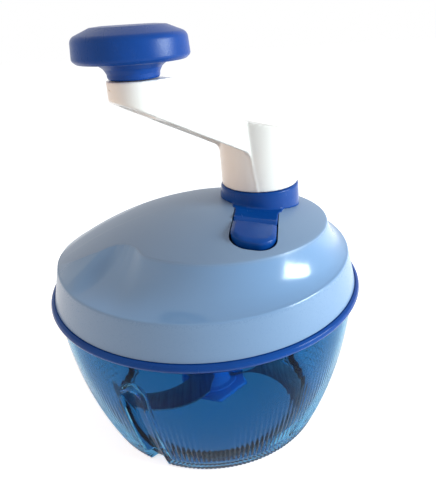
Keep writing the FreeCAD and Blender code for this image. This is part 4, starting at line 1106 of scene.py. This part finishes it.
def arcTo(start, end, radius, side, steps=20):
    # points on the short arc from start to end; side 1 turns anticlockwise
    a, b = Vector(start), Vector(end)
    half = (b - a).length / 2
    across = Vector(((b - a).y, -(b - a).x)).normalized() * side
    centre = (a + b) / 2 - across * math.sqrt(radius ** 2 - half ** 2)
    first = math.atan2((a - centre).y, (a - centre).x)
    sweep = 2 * math.asin(half / radius) * side
    return [(centre.x + radius * math.cos(first + sweep * step / steps),
             centre.y + radius * math.sin(first + sweep * step / steps)) for step in range(steps + 1)]


def bladeOutline(size, reach):
    # the hollow cutting edge and the round back of one curved blade, both from root to tip
    root, half, sweep = size["root"], size["half"], math.radians(size["sweep"])
    tip = (reach * math.cos(sweep), -reach * math.sin(sweep))
    edgeStart, edgeEnd = (reach * size["edgeStart"], -half), (tip[0] - size["tipWidth"], tip[1])
    edge = [(root, -half)] + arcTo(edgeStart, edgeEnd, reach * size["edgeRadius"], -1)
    backStart = (reach * size["backStart"], half * size["backRise"])
    back = arcTo(tip, backStart, reach * size["backRadius"], 1)[::-1]
    return edge, [(root, half)] + back


def makeBlades():
    size = {"first": 10.0, "pitch": 14.0, "sheet": 1.0, "reach": 58.5, "step": 3.3, "grind": 0.30,
            "grindHigh": 0.56, "grindLow": 0.44, "sweep": 54.0, "root": 5.5, "half": 6.0, "tipWidth": 1,
            "edgeStart": 0.37, "edgeRadius": 0.45, "backStart": 0.5, "backRise": 1.5, "backRadius": 0.53}
    # over the top from the back to the edge, and back below it: (share of the width, share of the sheet)
    grind, high, low = size["grind"], size["grindHigh"], size["grindLow"]
    lines = [(1.0, 0.0), (1.0, 1.0), (grind, 1.0), (0.0, high),
             (0.0, low), (grind, 0.0), (1.0, 0.0), (1.0, 0.0)]
    for index, node in enumerate(("lower_blade", "middle_blade", "upper_blade")):
        reach = size["reach"] + size["step"] * index
        floor = size["first"] + size["pitch"] * index
        inner, outer = bladeOutline(size, reach)
        last = len(inner) - 1

        def place(u, v):
            step = round(u * last)
            share, level = lines[round(v * (len(lines) - 1))]
            spot = Vector(inner[step]).lerp(Vector(outer[step]), share)
            return spot.x, spot.y, floor + size["sheet"] * level

        piece = wrapGrid("blade", last, len(lines) - 1, place)
        cleanUp(piece)
        choose(piece)
        bpy.ops.object.mode_set(mode="EDIT")
        bpy.ops.mesh.select_mode(type="EDGE")
        bpy.ops.mesh.select_all(action="DESELECT")
        bpy.ops.mesh.select_non_manifold()
        bpy.ops.mesh.fill()
        bpy.ops.object.mode_set(mode="OBJECT")
        cleanUp(piece)
        moveTo(piece, (0, 0), layout["bladeTurn"] - 120 * index)
        finishPiece(piece, node.replace("_b", "B"), "blade_unit", "blade_steel", [node], 20)


makeBlades()
print("blade unit modelled")


# Carried-over nodes keep their solids and get a finish
for name, node in nodes.items():
    entry = next(item for item in frame["record"]["subparts"] if item["node"] == name)
    node.data.materials.clear()
    node.data.materials.append(finishes[entry["material_slot"]])


# Floor, lamps and world


def makeSetting():
    light = {"world": 0.42, "worldColour": (0.96, 0.98, 1.0), "floorGlow": 0.70, "aim": (0, 0, 0.09),
             "lamps": {
                 "keyLamp": {"place": (0.87, -0.30, 0.35), "size": (0.42, 0.24), "power": 10.0,
                             "tint": (0.83, 0.96, 1.0), "shines": True},
                 "fillLamp": {"place": (-0.90, -0.12, 0.42), "size": (0.60, 0.60), "power": 2.7,
                              "tint": (1.0, 0.60, 0.32), "shines": False}}}
    choose()
    bpy.ops.mesh.primitive_plane_add(size=6)
    floor = bpy.context.object
    floor.name = "floor"
    paint = newFinish("paleFloor")
    mottle = paint.noise(9.0, detail=4.0).between(0.3, 0.7)
    tone = paint.blend(mottle, colour(0.90, 0.91, 0.92), colour(0.94, 0.94, 0.94))
    dull = paint.node("BsdfDiffuse", {}, {"Color": tone})
    glow = paint.node("Emission", {}, {"Color": colour(1, 1, 1), "Strength": light["floorGlow"]})
    bright = paint.node("AddShader", {}, {0: dull, 1: glow})
    either = paint.node("MixShader", {}, {0: paint.seenRays(), 1: dull, 2: bright})
    paint.node("OutputMaterial", {}, {"Surface": either})
    floor.data.materials.append(paint.owner)

    world = bpy.data.worlds.new("studio")
    bpy.context.scene.world = world
    sky = Finish(world)
    soft = sky.node("Background", {}, {"Color": colour(*light["worldColour"]), "Strength": light["world"]})
    white = sky.node("Background", {}, {"Color": colour(1, 1, 1), "Strength": 1.0})
    mixed = sky.node("MixShader", {}, {0: sky.seenRays(), 1: soft, 2: white})
    sky.node("OutputWorld", {}, {"Surface": mixed})

    for name, make in light["lamps"].items():
        bpy.ops.object.light_add(type="AREA", location=make["place"])
        lamp = bpy.context.object
        lamp.name = name
        lamp.data.energy = make["power"]
        lamp.data.shape = "RECTANGLE"
        lamp.data.size, lamp.data.size_y = make["size"]
        lamp.visible_glossy = make["shines"]
        lamp.data.color = make["tint"]
        towards = Vector(light["aim"]) - Vector(make["place"])
        lamp.rotation_euler = towards.to_track_quat("-Z", "Y").to_euler()
    bpy.context.scene.view_settings.view_transform = "Standard"


makeSetting()
print("setting made")
